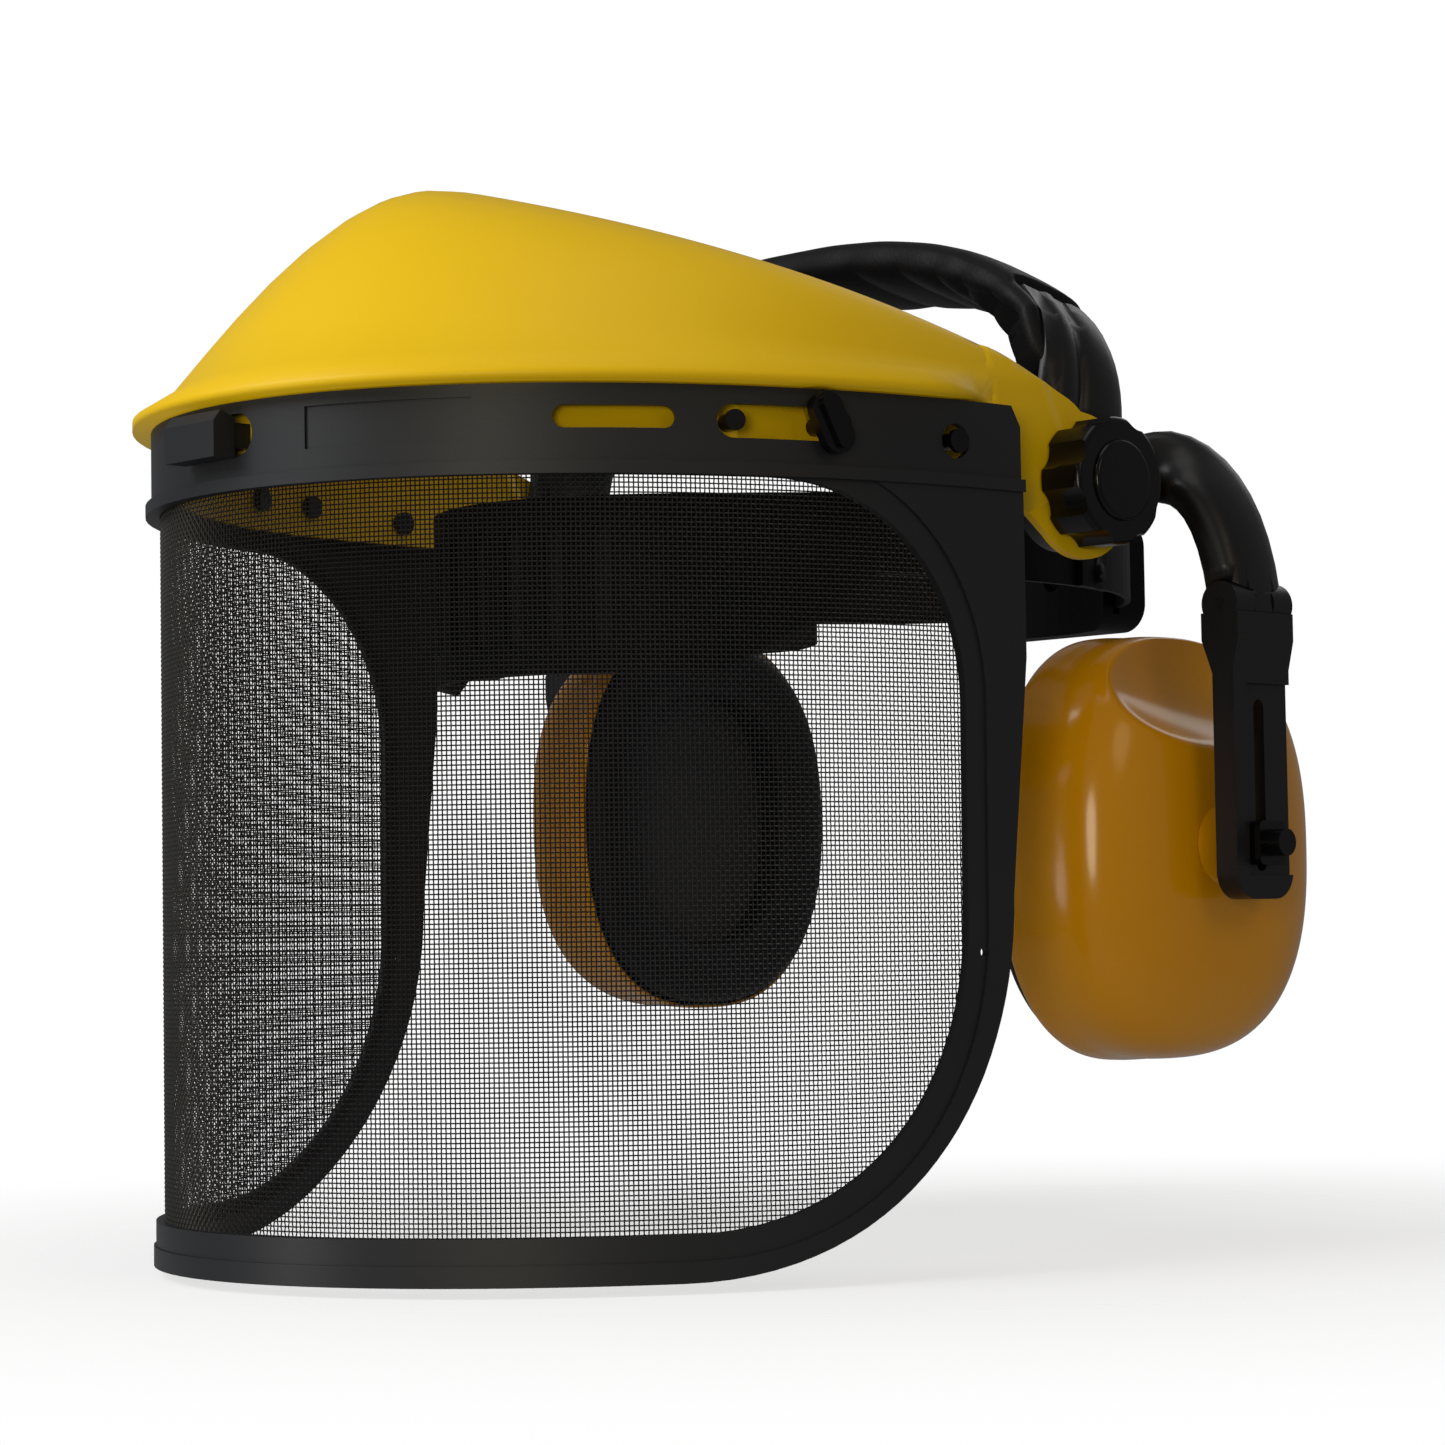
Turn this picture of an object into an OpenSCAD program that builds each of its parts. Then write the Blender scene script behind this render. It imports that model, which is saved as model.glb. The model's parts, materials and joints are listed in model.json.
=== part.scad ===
// Brow guard with a mesh visor, a head harness and ear defenders on a padded headband
// The origin is midway between the two pivots: X to the wearer's left, Y to the back, Z up

/* [Visor] */
// Distance that the visor's rear edges stand outside the guard's ears
visor_out = 9; // [8:0.1:11]
// Depth of the visor from its rear edges to its front
visor_depth = 156; // [140:1:170]
// Distance of the visor's rear edges ahead of the pivots
visor_ahead = 32.5; // [30:0.5:38]
// Height of the band's bottom edge below the pivots
band_below = 5; // [3:0.5:8]
// Height of the visor's band
band_h = 21; // [19:0.5:24]
// Height of the visor below its band
visor_drop = 185; // [160:1:210]
// Thickness of the visor frame's wall
frame_t = 2; // [1.6:0.1:2.4]
// Distance that the rear edges run forwards on their way down
rear_taper = 6; // [2:0.5:10]
// Radius of the visor's lower corners
corner_r = 87.5; // [70:0.5:90]
// Width of the border behind the opening
border_rear = 20; // [14:0.5:24]
// Height of the border under the opening
border_low = 11; // [8:0.5:16]
// Radius of the opening's upper corners
open_top_r = 51; // [35:1:56]
// Radius of the opening's lower corners
open_low_r = 70; // [50:1:76]
// Width of the thin lip around the opening
lip_w = 6; // [3:0.5:8]
// Height of the raised border over the lip
lip_step = 0.6; // [0.3:0.1:1]
// Height of the bead along the band's bottom edge
bead_h = 3; // [2:0.5:4]
// Distance that the bead stands out
bead_out = 1.5; // [0.8:0.1:2]
// Thickness of the woven wire mesh
mesh_t = 0.9; // [0.6:0.1:1.2]
// Distance that the mesh reaches behind the border
mesh_lap = 5; // [3:0.5:7]
// Number of openings across the mesh
mesh_n = 12; // [6:1:12]
// Width of the mesh's bars
mesh_bar = 1.8; // [1:0.1:3]

/* [Band fittings] */
// Arc length from the front to the middle of the empty slot
slot_a_at = 103; // [95:1:110]
// Length of the empty slot
slot_a_l = 28.5; // [20:0.5:32]
// Height of the empty slot
slot_a_h = 5.3; // [4:0.1:7]
// Arc length from the front to the middle of the fixing slot
slot_b_at = 144.5; // [142:0.5:148]
// Length of the fixing slot
slot_b_l = 34.5; // [30:0.5:38]
// Height of the fixing slot
slot_b_h = 8; // [7:0.1:9]
// Arc length from the front to the round hole
hole_at = 192; // [189:0.5:195]
// Diameter of the round hole
hole_d = 8.5; // [8:0.1:10]
// Diameter of the pegs' shanks
peg_d = 4.2; // [3:0.1:5]
// Length of the front window in the band
window_l = 26; // [22:0.5:30]
// Height of the front window in the band
window_h = 10; // [8:0.5:12]
// Length of the bare recessed panel beside the window
panel_l = 41; // [30:1:46]
// Diameter of the small hole in the border
rivet_d = 2.4; // [1.6:0.1:3]

/* [Brow guard] */
// Thickness of the guard's wall
guard_t = 2.4; // [2:0.1:3]
// Distance that the brim stands out from the visor
brim_out = 4.6; // [3:0.1:6]
// Height of the brim's outer lip
brim_lip = 2.4; // [1.6:0.1:3.2]
// Height of the brim's slope up to the dome's foot
brim_rise = 8; // [6:0.5:10]
// Gap between the visor's band and the skirt behind it
skirt_gap = 2.6; // [2:0.1:3.2]
// Height of the guard's free edge above the pivots at the front
peak_z = 75.5; // [65:0.5:85]
// Distance of the free edge ahead of the pivots at the front
peak_ahead = 120; // [105:1:130]
// Height of the free edge above the pivots at the ears
ear_top_z = 21; // [18:0.5:24]
// Distance of the ears' outer faces from the inside of the head band
ear_out = 35.5; // [34:0.1:38]
// Radius of the ears round the pivots
ear_r = 18.5; // [17:0.5:20]

/* [Head harness] */
// Half width of the head band, inside
head_half_w = 70; // [66:0.5:71]
// Half length of the head band, inside
head_half_l = 107; // [98:1:110]
// Thickness of the head band
head_band_t = 2; // [1.6:0.1:2.4]
// Height of the head band's forehead part
brow_h = 44; // [32:1:46]
// Height of the head band's side parts
side_h = 20; // [16:0.5:22]
// Height of the head band's top edge below the pivots, at the sides
side_below = 1; // [0.5:0.5:4]
// Height of the forehead part's top edge below the pivots
brow_below = 2; // [0:0.5:5]
// Number of ventilation slots in the forehead part
vent_n = 7; // [3:2:9]
// Thickness of the sweat band
sweat_t = 4; // [3:0.5:6]
// Thickness of the nape straps
strap_t = 1.6; // [1.2:0.1:2]
// Width of the ratchet housing
ratchet_w = 56; // [48:1:64]
// Radius of the ratchet knob
ratchet_r = 15; // [12:0.5:15.5]
// Depth of the ratchet knob
ratchet_d = 11; // [8:0.5:14]
// Number of the pinion's teeth
pinion_n = 10; // [8:1:12]

/* [Pivots] */
// Radius of the pivot shafts
shaft_r = 5; // [4:0.1:6]
// Radius of the standoffs that carry the shafts
standoff_r = 8; // [7:0.1:8.5]
// Thickness of the friction washers
washer_t = 0.5; // [0.4:0.1:0.8]
// Thickness of the headband hubs
hub_t = 6.2; // [5:0.1:7]
// Radius of the headband hubs
hub_r = 16; // [14.5:0.1:16.5]
// Radius of the pivot knobs
knob_r = 16; // [13:0.1:17]
// Thickness of the pivot knobs
knob_t = 13.5; // [11:0.1:15]
// Number of finger scallops on a knob
scallop_n = 8; // [5:1:10]

/* [Headband] */
// Backward lean of the headband
lean = 12.6; // [10:0.1:15]
// Distance of the arch's springing outside the guard's ears
arch_out = 0.5; // [0.2:0.1:0.8]
// Height of the arch above its springing
arch_rise = 60; // [59:0.5:66]
// Height of the arch's springing above the pivots
arch_z = 10; // [9.5:0.1:10.5]
// Thickness of the spring strip
strip_t = 1.6; // [1.2:0.1:2]
// Width of the spring strip
strip_w = 22; // [18:0.5:24]
// Width of the headband's pad
pad_w = 33; // [30:0.5:35]
// Thickness of the headband's pad
pad_t = 12; // [10:0.1:12.5]
// Distance of the pad's middle inside the spring strip
pad_drop = 1.5; // [1:0.1:2]
// Number of gathers along the pad
gather_n = 15; // [9:1:18]
// Height of the gathers
gather_h = 0.9; // [0.3:0.1:1.2]

/* [Arms] */
// Distance of the arms' middle planes outside the guard's ears
arm_out = 22; // [21.5:0.1:23]
// Distance of the arms behind the pivots
arm_y = 36.5; // [35:0.5:39]
// Width of an arm
arm_w = 22; // [20:0.5:23]
// Thickness of an arm's slotted bar
bar_t = 5.5; // [4.5:0.1:6]
// Depth of an arm's rim over its bar
rim_h = 1.2; // [0.6:0.1:1.6]
// Height of the arm's joint below the pivots
joint_below = 30; // [29:0.5:33]
// Length of an arm below its joint
arm_l = 74; // [70:0.5:80]
// Thickness of an arm at its joint
joint_t = 12; // [11:0.1:13]
// Width of the arm's slot
slot_w = 4; // [3.4:0.1:5]
// Radius of the arm's hinge pin
pin_r = 1.5; // [1.2:0.1:1.8]
// Travel of the sliders up their slots
slide_travel = 26; // [15:1:28]

/* [Ear cups] */
// Half width of an ear cup
cup_half_w = 46; // [40:0.5:47]
// Half height of an ear cup
cup_half_h = 54.5; // [48:0.5:56]
// Height of the left ear cup's middle above its arm's end
cup_up = 14; // [13.5:0.5:20]
// Height of the right ear cup's middle above its arm's end
cup_up_right = 27; // [14:0.5:34]
// Distance of an ear cup's middle behind its arm's middle
cup_back = 4; // [0:0.5:6]
// Depth of an ear cup's shell
shell_d = 30; // [26:0.5:31]
// Thickness of an ear cup's shell
shell_t = 2.4; // [2:0.1:3]
// Gap between a shell's outer face and the arm's bar
cup_gap = 6.75; // [6.5:0.05:8]
// Thickness of the plate that closes the shell
plate_t = 2; // [1.5:0.1:2.5]
// Thickness of the ear cushion
cushion_t = 12.5; // [10:0.5:12.5]
// Half width of the ear opening
ear_half_y = 27; // [20:0.5:28]
// Half height of the ear opening
ear_half_z = 34; // [28:0.5:36]
// Radius of the scoop in the shell under the elbow
scoop_r = 45; // [36:1:52]
// Radius of the ball that carries a cup
ball_r = 4; // [3.4:0.1:4.2]
// Depth of the ball's middle under the shell's outer face
ball_set = 2; // [1.5:0.1:2.6]

/* [Hidden] */
$fn = 64;

yellow = "gold";
black = "#232327";
grey = "#3a3b40";
seat = 0.05;
run = 0.05;
clear = 0.3;
wide = 400;
eps = 0.01;

// Half widths that hang on the head band
ear_half_w = head_half_w + ear_out;
visor_half_w = ear_half_w + visor_out;
arm_x = ear_half_w + arm_out;
arch_half_w = ear_half_w + arch_out;
// Visor values
visor_y = -visor_ahead;
band_z = -band_below;
band_top = band_z + band_h;
visor_z = band_z - visor_drop;
open_y = visor_y - border_rear;
low_y = visor_y - rear_taper;
front_y = visor_y - visor_depth;
fit_z = band_z + band_h / 2 + 2.8;
// Guard values
brim_z = band_top + 0.5;
foot_z = brim_z + brim_rise;
skirt_z = band_z + 5;
ear_in = ear_half_w - guard_t;
// Pivot values, along X
band_x = head_half_w + head_band_t;
hub_x = ear_in - washer_t - 2 * seat - hub_t;
shoulder_x = hub_x - washer_t - 2 * seat;
knob_x = ear_half_w + washer_t + 2 * seat;
shaft_end = knob_x + knob_t - 2;
// Arm and cup values
bar_in = arm_x - bar_t / 2;
bar_out = arm_x + bar_t / 2;
joint_z = -joint_below;
arm_z = joint_z - arm_l;
pin_x = arm_x;
knuckle_r = joint_t / 2 - 0.3;
joint_gap = 2.2;
face_x = bar_in - cup_gap;
rim_x = face_x - shell_d;
plate_x = rim_x - plate_t;
cushion_x = plate_x - cushion_t;
$cup_z = arm_z + cup_up;
cup_y = arm_y + cup_back;
ball_x = face_x - ball_set;
flange_t = 3;
// Ratchet values, along Y
nape_y = head_half_l + head_band_t;
ratchet_z = -side_below - side_h / 2 + 1;
cover_y = nape_y + strap_t + 3;

// Point of the visor's plan curve, t degrees round from the front, moved outwards by o
function plan_pt(o, t) = [(visor_half_w + o) * sin(t), visor_y - (visor_depth + o) * cos(t)];
// Angle at which the plan curve has run an arc length of s from the front
function arc_angle(s, t = 0, run_l = 0, dt = 0.5) =
    let (d = norm(plan_pt(0, t + dt) - plan_pt(0, t)))
    run_l + d >= s ? t + dt * (s - run_l) / d : arc_angle(s, t + dt, run_l + d, dt);
function mean(pts) = [for (k = [0:2]) total([for (p = pts) p[k]]) / len(pts)];
function total(v, i = 0) = i < len(v) ? v[i] + total(v, i + 1) : 0;
function unit(v) = v / norm(v);
function ease(x) = let (c = min(1, max(0, x))) c * c * (3 - 2 * c);
function mix(a, b, f) = a + (b - a) * f;
// Superellipse of half sizes a and b, k degrees round
function super_pt(a, b, n, k) =
    [a * sign(cos(k)) * pow(abs(cos(k)), 2 / n), b * sign(sin(k)) * pow(abs(sin(k)), 2 / n)];

// Closed skin over a list of rings, with fan ends or joined end to end
module loft(rings, wrap = false) {
    n = len(rings);
    m = len(rings[0]);
    last = wrap ? n - 1 : n - 2;
    pts = concat([for (r = rings) each r], wrap ? [] : [mean(rings[0]), mean(rings[n - 1])]);
    sides = [for (i = [0:last], j = [0:m - 1])
        let (next = (i + 1) % n * m, a = i * m + j, b = i * m + (j + 1) % m, c = next + (j + 1) % m,
            d = next + j)
        each [[a, b, c], [a, c, d]]];
    first_end = [for (j = [0:m - 1]) [n * m, (j + 1) % m, j]];
    last_end = [for (j = [0:m - 1]) [n * m + 1, (n - 1) * m + j, (n - 1) * m + (j + 1) % m]];
    faces = wrap ? sides : concat(sides, first_end, last_end);
    turned = ring_area(rings[0]) * (mean(rings[1]) - mean(rings[0])) > 0;
    polyhedron(pts, turned ? [for (f = faces) [f[2], f[1], f[0]]] : faces);
}
// Area vector of a ring of points
function ring_area(r) = let (m = len(r), c = [for (j = [0:m - 1]) cross(r[j] - r[0], r[(j + 1) % m] - r[0])])
    [for (k = [0:2]) total([for (v = c) v[k]])];

// Closed sheet between an outer and an inner grid of points
module sheet(outer, inner) {
    n = len(outer);
    m = len(outer[0]);
    k = n * m;
    pts = concat([for (r = outer) each r], [for (r = inner) each r]);
    skins = [for (i = [0:n - 2], j = [0:m - 2])
        let (a = i * m + j, b = a + 1, c = a + m + 1, d = a + m)
        each [[a, b, c], [a, c, d], [k + a, k + c, k + b], [k + a, k + d, k + c]]];
    long_edges = [for (i = [0:n - 2])
        let (a = i * m, d = a + m, b = a + m - 1, c = b + m)
        each [[a, d, k + d], [a, k + d, k + a], [b, k + c, c], [b, k + b, k + c]]];
    end_edges = [for (j = [0:m - 2])
        let (a = j, b = j + 1, c = (n - 1) * m + j, d = c + 1)
        each [[a, k + b, b], [a, k + a, k + b], [c, d, k + d], [c, k + d, k + c]]];
    polyhedron(pts, concat(skins, long_edges, end_edges));
}

// Outline in the side view, drawn as Y and Z, pushed through the whole width
module side_on(w = wide) rotate([90, 0, 90]) linear_extrude(w, center = true) children();
module both_sides() {
    children();
    mirror([1, 0, 0]) children();
}
// Bar, disc or ring on the X axis of the pivots
module along_x(x0, x1) translate([x0, 0, 0]) rotate([0, 90, 0]) linear_extrude(x1 - x0) children();

// Wall between two offsets of the visor's plan curve
module visor_wall(o_out, o_in, z0, z1) {
    steps = 56;
    turn = [for (i = [0:steps]) -90 + 180 * i / steps];
    translate([0, 0, z0]) linear_extrude(z1 - z0)
        polygon(concat([for (t = turn) plan_pt(o_out, t)], [for (i = [steps:-1:0]) plan_pt(o_in, turn[i])]));
}
// Place on the band, an arc length s from the front, with -Y outwards
module on_band(s, z) {
    t = s < 0 ? -arc_angle(-s) : arc_angle(s);
    heading = atan2((visor_depth) * sin(t), visor_half_w * cos(t));
    translate([each plan_pt(0, t), z]) rotate([0, 0, heading]) children();
}
// Round bar on the band's outward line, from offset o0 to offset o1
module peg_bar(r, o0, o1) translate([0, -o0, 0]) rotate([90, 0, 0]) cylinder(r = r, h = o1 - o0);
module stadium(l, h) {
    square([l - h, h], center = true);
    for (m = [-1, 1]) translate([m * (l - h) / 2, 0]) circle(d = h);
}
module slot_cut(l, h) rotate([90, 0, 0]) linear_extrude(20, center = true) stadium(l, h);

// Points of an arc from angle a0 to angle a1
function arc_pts(c, r, a0, a1, n = 20) =
    [for (i = [0:n]) let (a = a0 + (a1 - a0) * i / n) [c.x + r * cos(a), c.y + r * sin(a)]];
module visor_outline() {
    top_cut = 5;
    straight = band_z - 40;
    rear = [[visor_y - 3, band_top], [visor_y, band_top - top_cut], [visor_y, straight]];
    corner = arc_pts([low_y - corner_r, visor_z + corner_r], corner_r, 0, -90, 28);
    polygon(concat([[front_y - 20, band_top]], rear, corner, [[front_y - 20, visor_z]]));
}
// Opening of the visor, grown on all sides by g
module visor_opening(g = 0) {
    upper = [open_y - open_top_r, band_z - open_top_r];
    lower = [open_y - 0.5 - open_low_r, visor_z + border_low + open_low_r];
    polygon(concat([[front_y - 20, band_z + g]], arc_pts(upper, open_top_r + g, 90, 0),
        arc_pts(lower, open_low_r + g, 0, -90, 24), [[front_y - 20, visor_z + border_low - g]]));
}

module visor_frame() color(black) difference() {
    union() {
        difference() {
            intersection() {
                visor_wall(0, -frame_t, visor_z, band_top);
                side_on() visor_outline();
            }
            side_on() visor_opening(0);
        }
        difference() {
            intersection() {
                visor_wall(lip_step, -frame_t / 2, visor_z, band_z);
                side_on() visor_outline();
            }
            side_on() visor_opening(lip_w);
        }
        intersection() {
            visor_wall(bead_out, -frame_t / 2, band_z, band_z + bead_h);
            side_on() visor_outline();
        }
    }
    both_sides() {
        on_band(slot_a_at, fit_z) slot_cut(slot_a_l, slot_a_h);
        on_band(slot_b_at, fit_z - 0.5) slot_cut(slot_b_l, slot_b_h);
        on_band(hole_at, band_z + 11) peg_bar(hole_d / 2, -20, 5);
        on_band(hole_at + 6, visor_z + 74) peg_bar(rivet_d / 2, -20, 5);
    }
    on_band(0, fit_z) slot_cut(window_l, window_h);
    intersection() {
        visor_wall(2, -lip_step, band_z + 8, band_z + 18);
        on_band(window_l + panel_l / 2 + 3, 0) cube([panel_l, 20, 60], center = true);
    }
}

// Mesh: a thin curved sheet with a grid of openings inside the border
module visor_mesh() color("dimgray") difference() {
    pitch = 2 * (hole_at + 8) / mesh_n;
    rows = ceil(visor_drop / pitch);
    intersection() {
        visor_wall(-frame_t, -frame_t - mesh_t, visor_z, band_top);
        side_on() visor_opening(mesh_lap);
        side_on() visor_outline();
    }
    intersection() {
        for (i = [0:mesh_n - 1], j = [0:rows - 1])
            on_band((i - (mesh_n - 1) / 2) * pitch, band_z - (j + 0.5) * visor_drop / rows)
            cube([pitch - mesh_bar, 20, visor_drop / rows - mesh_bar], center = true);
        side_on() visor_opening(-1);
    }
}

// Offset of the skirt's outside from the visor's plan curve, deepening towards the ears
function skirt_o(t) = mix(-frame_t - skirt_gap, ear_half_w - visor_half_w, ease((abs(t) - 55) / 33));
function brim_o(t) = mix(brim_out, skirt_o(t) + 0.6, ease((abs(t) - 80) / 10));
// Free edge of the dome: its plan is an ellipse round the pivots
function edge_pt(t) =
    let (y = mix(visor_y, -peak_ahead, cos(t)), c = -y / peak_ahead, k = acos(min(1, c)) / 90,
        soft = k * k / sqrt(k * k + 0.006), x = (ear_half_w - 1.5) * sqrt(max(0, 1 - c * c)),
        z = ear_top_z + (peak_z - ear_top_z) * (1 - 0.66 * soft - 0.34 * k * k))
    [sign(t) * x, y, z];
// The dome rises as a parabola that is level at its free edge, with a flare at its foot
dome_flare = 0.25;
dome_rows = [0:0.125:1];
// Point of the dome's outside, s from 0 at its foot to 1 at its free edge, moved in by d
function dome_pt(t, s, d) =
    let (f = plan_pt(skirt_o(t), t), e = edge_pt(t), span = [e.x - f.x, e.y - f.y], l = norm(span),
        h = e.z - foot_z,
        rise = h * (2 - 2 * s), slope = norm([rise, l]), in = s + dome_flare * s * pow(1 - s, 2),
        p = f + span * in + span / l * d * rise / slope)
    [p.x, p.y, foot_z + h * (2 * s - s * s) - d * l / slope];
function guard_out(t) = let (o = skirt_o(t), b = brim_o(t))
    concat([[each plan_pt(o, t), skirt_z], [each plan_pt(o, t), brim_z], [each plan_pt(b, t), brim_z],
        [each plan_pt(b, t), brim_z + brim_lip]], [for (s = dome_rows) dome_pt(t, s, 0)]);
function guard_in(t) = let (o = skirt_o(t) - guard_t)
    concat([[each plan_pt(o, t), skirt_z], [each plan_pt(o, t), brim_z], [each plan_pt(o, t), brim_z + 1],
        [each plan_pt(o, t), brim_z + 2]], [for (s = dome_rows) dome_pt(t, s, guard_t)]);

module ear_outline() {
    polygon([[visor_y - 4, skirt_z + 1], [visor_y - 4, foot_z], [visor_y + 0.5, 29.5], [-13, 24.5],
        [4, ear_r - 0.4], [0, 0],
        [-9, -ear_r + 2.4], [-20, -8]]);
    circle(ear_r);
}
module brow_guard() color(yellow) difference() {
    union() {
        steps = 60;
        turn = [for (i = [0:steps]) -90 + 180 * i / steps];
        sheet([for (t = turn) guard_out(t)], [for (t = turn) guard_in(t)]);
        both_sides() rotate([90, 0, 90]) translate([0, 0, ear_in]) linear_extrude(guard_t) ear_outline();
    }
    along_x(-wide / 2, wide / 2) circle(shaft_r + run);
    both_sides() {
        on_band(slot_b_at - slot_b_l / 2 + 4, fit_z - 0.5) peg_bar(peg_d / 2 + seat, -16, 0);
        on_band(slot_b_at + slot_b_l / 2 - 7, fit_z - 0.5) peg_bar(peg_d / 2 + seat, -16, 0);
        on_band(hole_at, band_z + 11) peg_bar(peg_d / 2 + seat, -20, -3);
    }
    on_band(0, fit_z) rotate([90, 0, 0]) linear_extrude(20, center = true)
        square([window_l - 12, window_h - 4], center = true);
}

// Snap peg from the skirt's inside to the band's outside
module snap_peg(t, head_r) {
    skin = skirt_o(t);
    peg_bar(peg_d / 2, skin - guard_t - 1.5, 1);
    peg_bar(peg_d / 2 + 1, skin - guard_t - 2.2, skin - guard_t - clear);
    peg_bar(head_r, 0.4, 1.6);
}
module visor_pegs() color(black) both_sides() {
    s = slot_b_at - slot_b_l / 2 + 4;
    on_band(s, fit_z - 0.5) snap_peg(arc_angle(s), peg_d / 2 + 0.4);
    on_band(hole_at, band_z + 11) snap_peg(arc_angle(hole_at), peg_d / 2 + 0.8);
}
// Slanted hook that holds the band to the skirt
module visor_hooks() color(black) both_sides() {
    s = slot_b_at + slot_b_l / 2 - 7;
    skin = skirt_o(arc_angle(s));
    on_band(s, fit_z - 0.5) {
        peg_bar(peg_d / 2, skin - guard_t - 1.5, 2);
        peg_bar(peg_d / 2 + 1, skin - guard_t - 2.2, skin - guard_t - clear);
        translate([0, -1.2, 0]) rotate([90, -25, 0]) linear_extrude(3.2) stadium_up(8, 15);
        translate([0, -1.2, 0]) rotate([90, -25, 0]) linear_extrude(4.6) stadium_up(3, 13);
    }
}
module stadium_up(w, h) rotate(90) stadium(h, w);

// Tongue that comes through the front window and turns down over the band
module front_latch() color(black) on_band(0, fit_z) {
    tongue = window_l - 12 - 2 * seat;
    skin = frame_t + skirt_gap;
    translate([-tongue / 2, -3, -window_h / 2 + 2 + seat])
        cube([tongue, skin + guard_t + 4.5, window_h - 4 - 2 * seat]);
    translate([-tongue / 2 - 2, skin + guard_t + 2 * clear, -window_h / 2]) cube([tongue + 4, 1.6, window_h]);
    translate([-window_l / 2 + 1, -6.4, 0]) rotate([90, 0, 90]) linear_extrude(window_l - 6)
        polygon([[0, -window_h / 2 - 0.6], [6, -window_h / 2 - 0.6], [6, window_h / 2 - 1],
            [2, window_h / 2 + 0.6], [0, 3]]);
}

// Point of the head band's plan, t degrees round from the front, o outside its inner face
function head_pt(o, t) = [(head_half_w + o) * sin(t), -(head_half_l + o) * cos(t)];
function head_heading(t) = atan2(head_half_l * sin(t), head_half_w * cos(t));
module head_wall(o_in, o_out, t0, t1, z0, z1) {
    steps = ceil((t1 - t0) / 4);
    turn = [for (i = [0:steps]) t0 + (t1 - t0) * i / steps];
    translate([0, 0, z0]) linear_extrude(z1 - z0)
        polygon(concat([for (t = turn) head_pt(o_out, t)], [for (i = [steps:-1:0]) head_pt(o_in, turn[i])]));
}
side_top = -side_below;
side_low = side_top - side_h;
brow_top = -brow_below;
brow_low = brow_top - brow_h;
lug_r = 12;
strap_from = 112;
module head_band_outline() {
    front = -head_half_l - 10;
    mid = -head_half_l * 0.61;
    polygon(concat([[front, brow_top], [mid - 14, brow_top], [mid + 22, side_top], [-lug_r - 4, side_top]],
        arc_pts([0, 0], lug_r, 165, 15, 16), [[lug_r + 4, side_top], [head_half_l, side_top],
        [head_half_l, side_low + 2], [mid + 30, side_low], [mid - 10, brow_low], [front, brow_low]]));
}
// Rivets that hold the nape straps to the head band
rivet_at = strap_from + 6;
module strap_rivets(m, r, o0, o1) for (z = [-5, 5])
    translate([each head_pt(0, m * rivet_at), side_top - side_h / 2 + z])
        rotate([0, 0, head_heading(m * rivet_at)])
    peg_bar(r, o0, o1);
module head_band() color(black) difference() {
    intersection() {
        head_wall(0, head_band_t, -strap_from - 14, strap_from + 14, brow_low, lug_r);
        side_on() head_band_outline();
    }
    for (i = [0:vent_n - 1]) let (t = (i - (vent_n - 1) / 2) * 9)
        translate([each head_pt(0, t), brow_low + brow_h / 2]) rotate([90, 0, head_heading(t)])
        linear_extrude(20, center = true) stadium_up(5, brow_h - 14);
    along_x(-wide / 2, wide / 2) circle(shaft_r - 1 + run);
    for (m = [-1, 1]) strap_rivets(m, 1.6, -6, 6);
}
module sweat_band() color("#2b2b2e") {
    rows = [for (i = [0:40]) -62 + 124 * i / 40];
    ring = 12;
    loft([for (t = rows) let (puff = sqrt(max(0.02, 1 - pow(abs(t) / 62.5, 6))),
        h = (brow_h / 2 - 4) * (0.8 + 0.2 * puff))
        [for (k = [0:ring - 1]) let (q = super_pt(sweat_t / 2 * puff, h, 3, 360 * k / ring))
            [each head_pt(-sweat_t / 2 - seat - q.x - 0.1, t), brow_low + brow_h / 2 + q.y]]]);
}

// Nape strap of side m, thinned to a toothed tongue inside the ratchet
rack_h = 4.6;
tooth_h = 1.6;
pinion_r = (side_h - 2) / 2 - rack_h - clear;
module nape_strap(m) color(black) {
    o0 = head_band_t + seat;
    top = side_top - 1;
    low = top - side_h + 2;
    tongue_to = 194;
    tongue_from = 165;
    rack_low = m > 0 ? top - rack_h : low;
    difference() {
        union() {
            mirror([m < 0 ? 1 : 0, 0, 0]) {
                head_wall(o0, o0 + strap_t, strap_from, tongue_from, low, top);
                head_wall(o0, o0 + strap_t, tongue_from - eps, tongue_to, rack_low, rack_low + rack_h);
            }
            strap_rivets(m, 2.6, o0 + strap_t / 2, o0 + strap_t + 1);
            strap_rivets(m, 1.55, -0.4, o0 + strap_t);
            strap_rivets(m, 2.6, -1, -seat);
        }
        mirror([m < 0 ? 1 : 0, 0, 0]) for (i = [0:10]) let (t = tongue_from + 3 + i * 2.4)
            translate([each head_pt(0, t), m > 0 ? top - rack_h : low + rack_h]) rotate([0, 0, t])
            cube([2.2, 20, 2 * tooth_h], center = true);
    }
}

module housing_outline(w, h) {
    square([w - 16, h], center = true);
    square([w, h - 16], center = true);
    for (mx = [-1, 1], mz = [-1, 1]) translate([mx * (w / 2 - 8), mz * (h / 2 - 8)]) circle(8);
}
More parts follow.
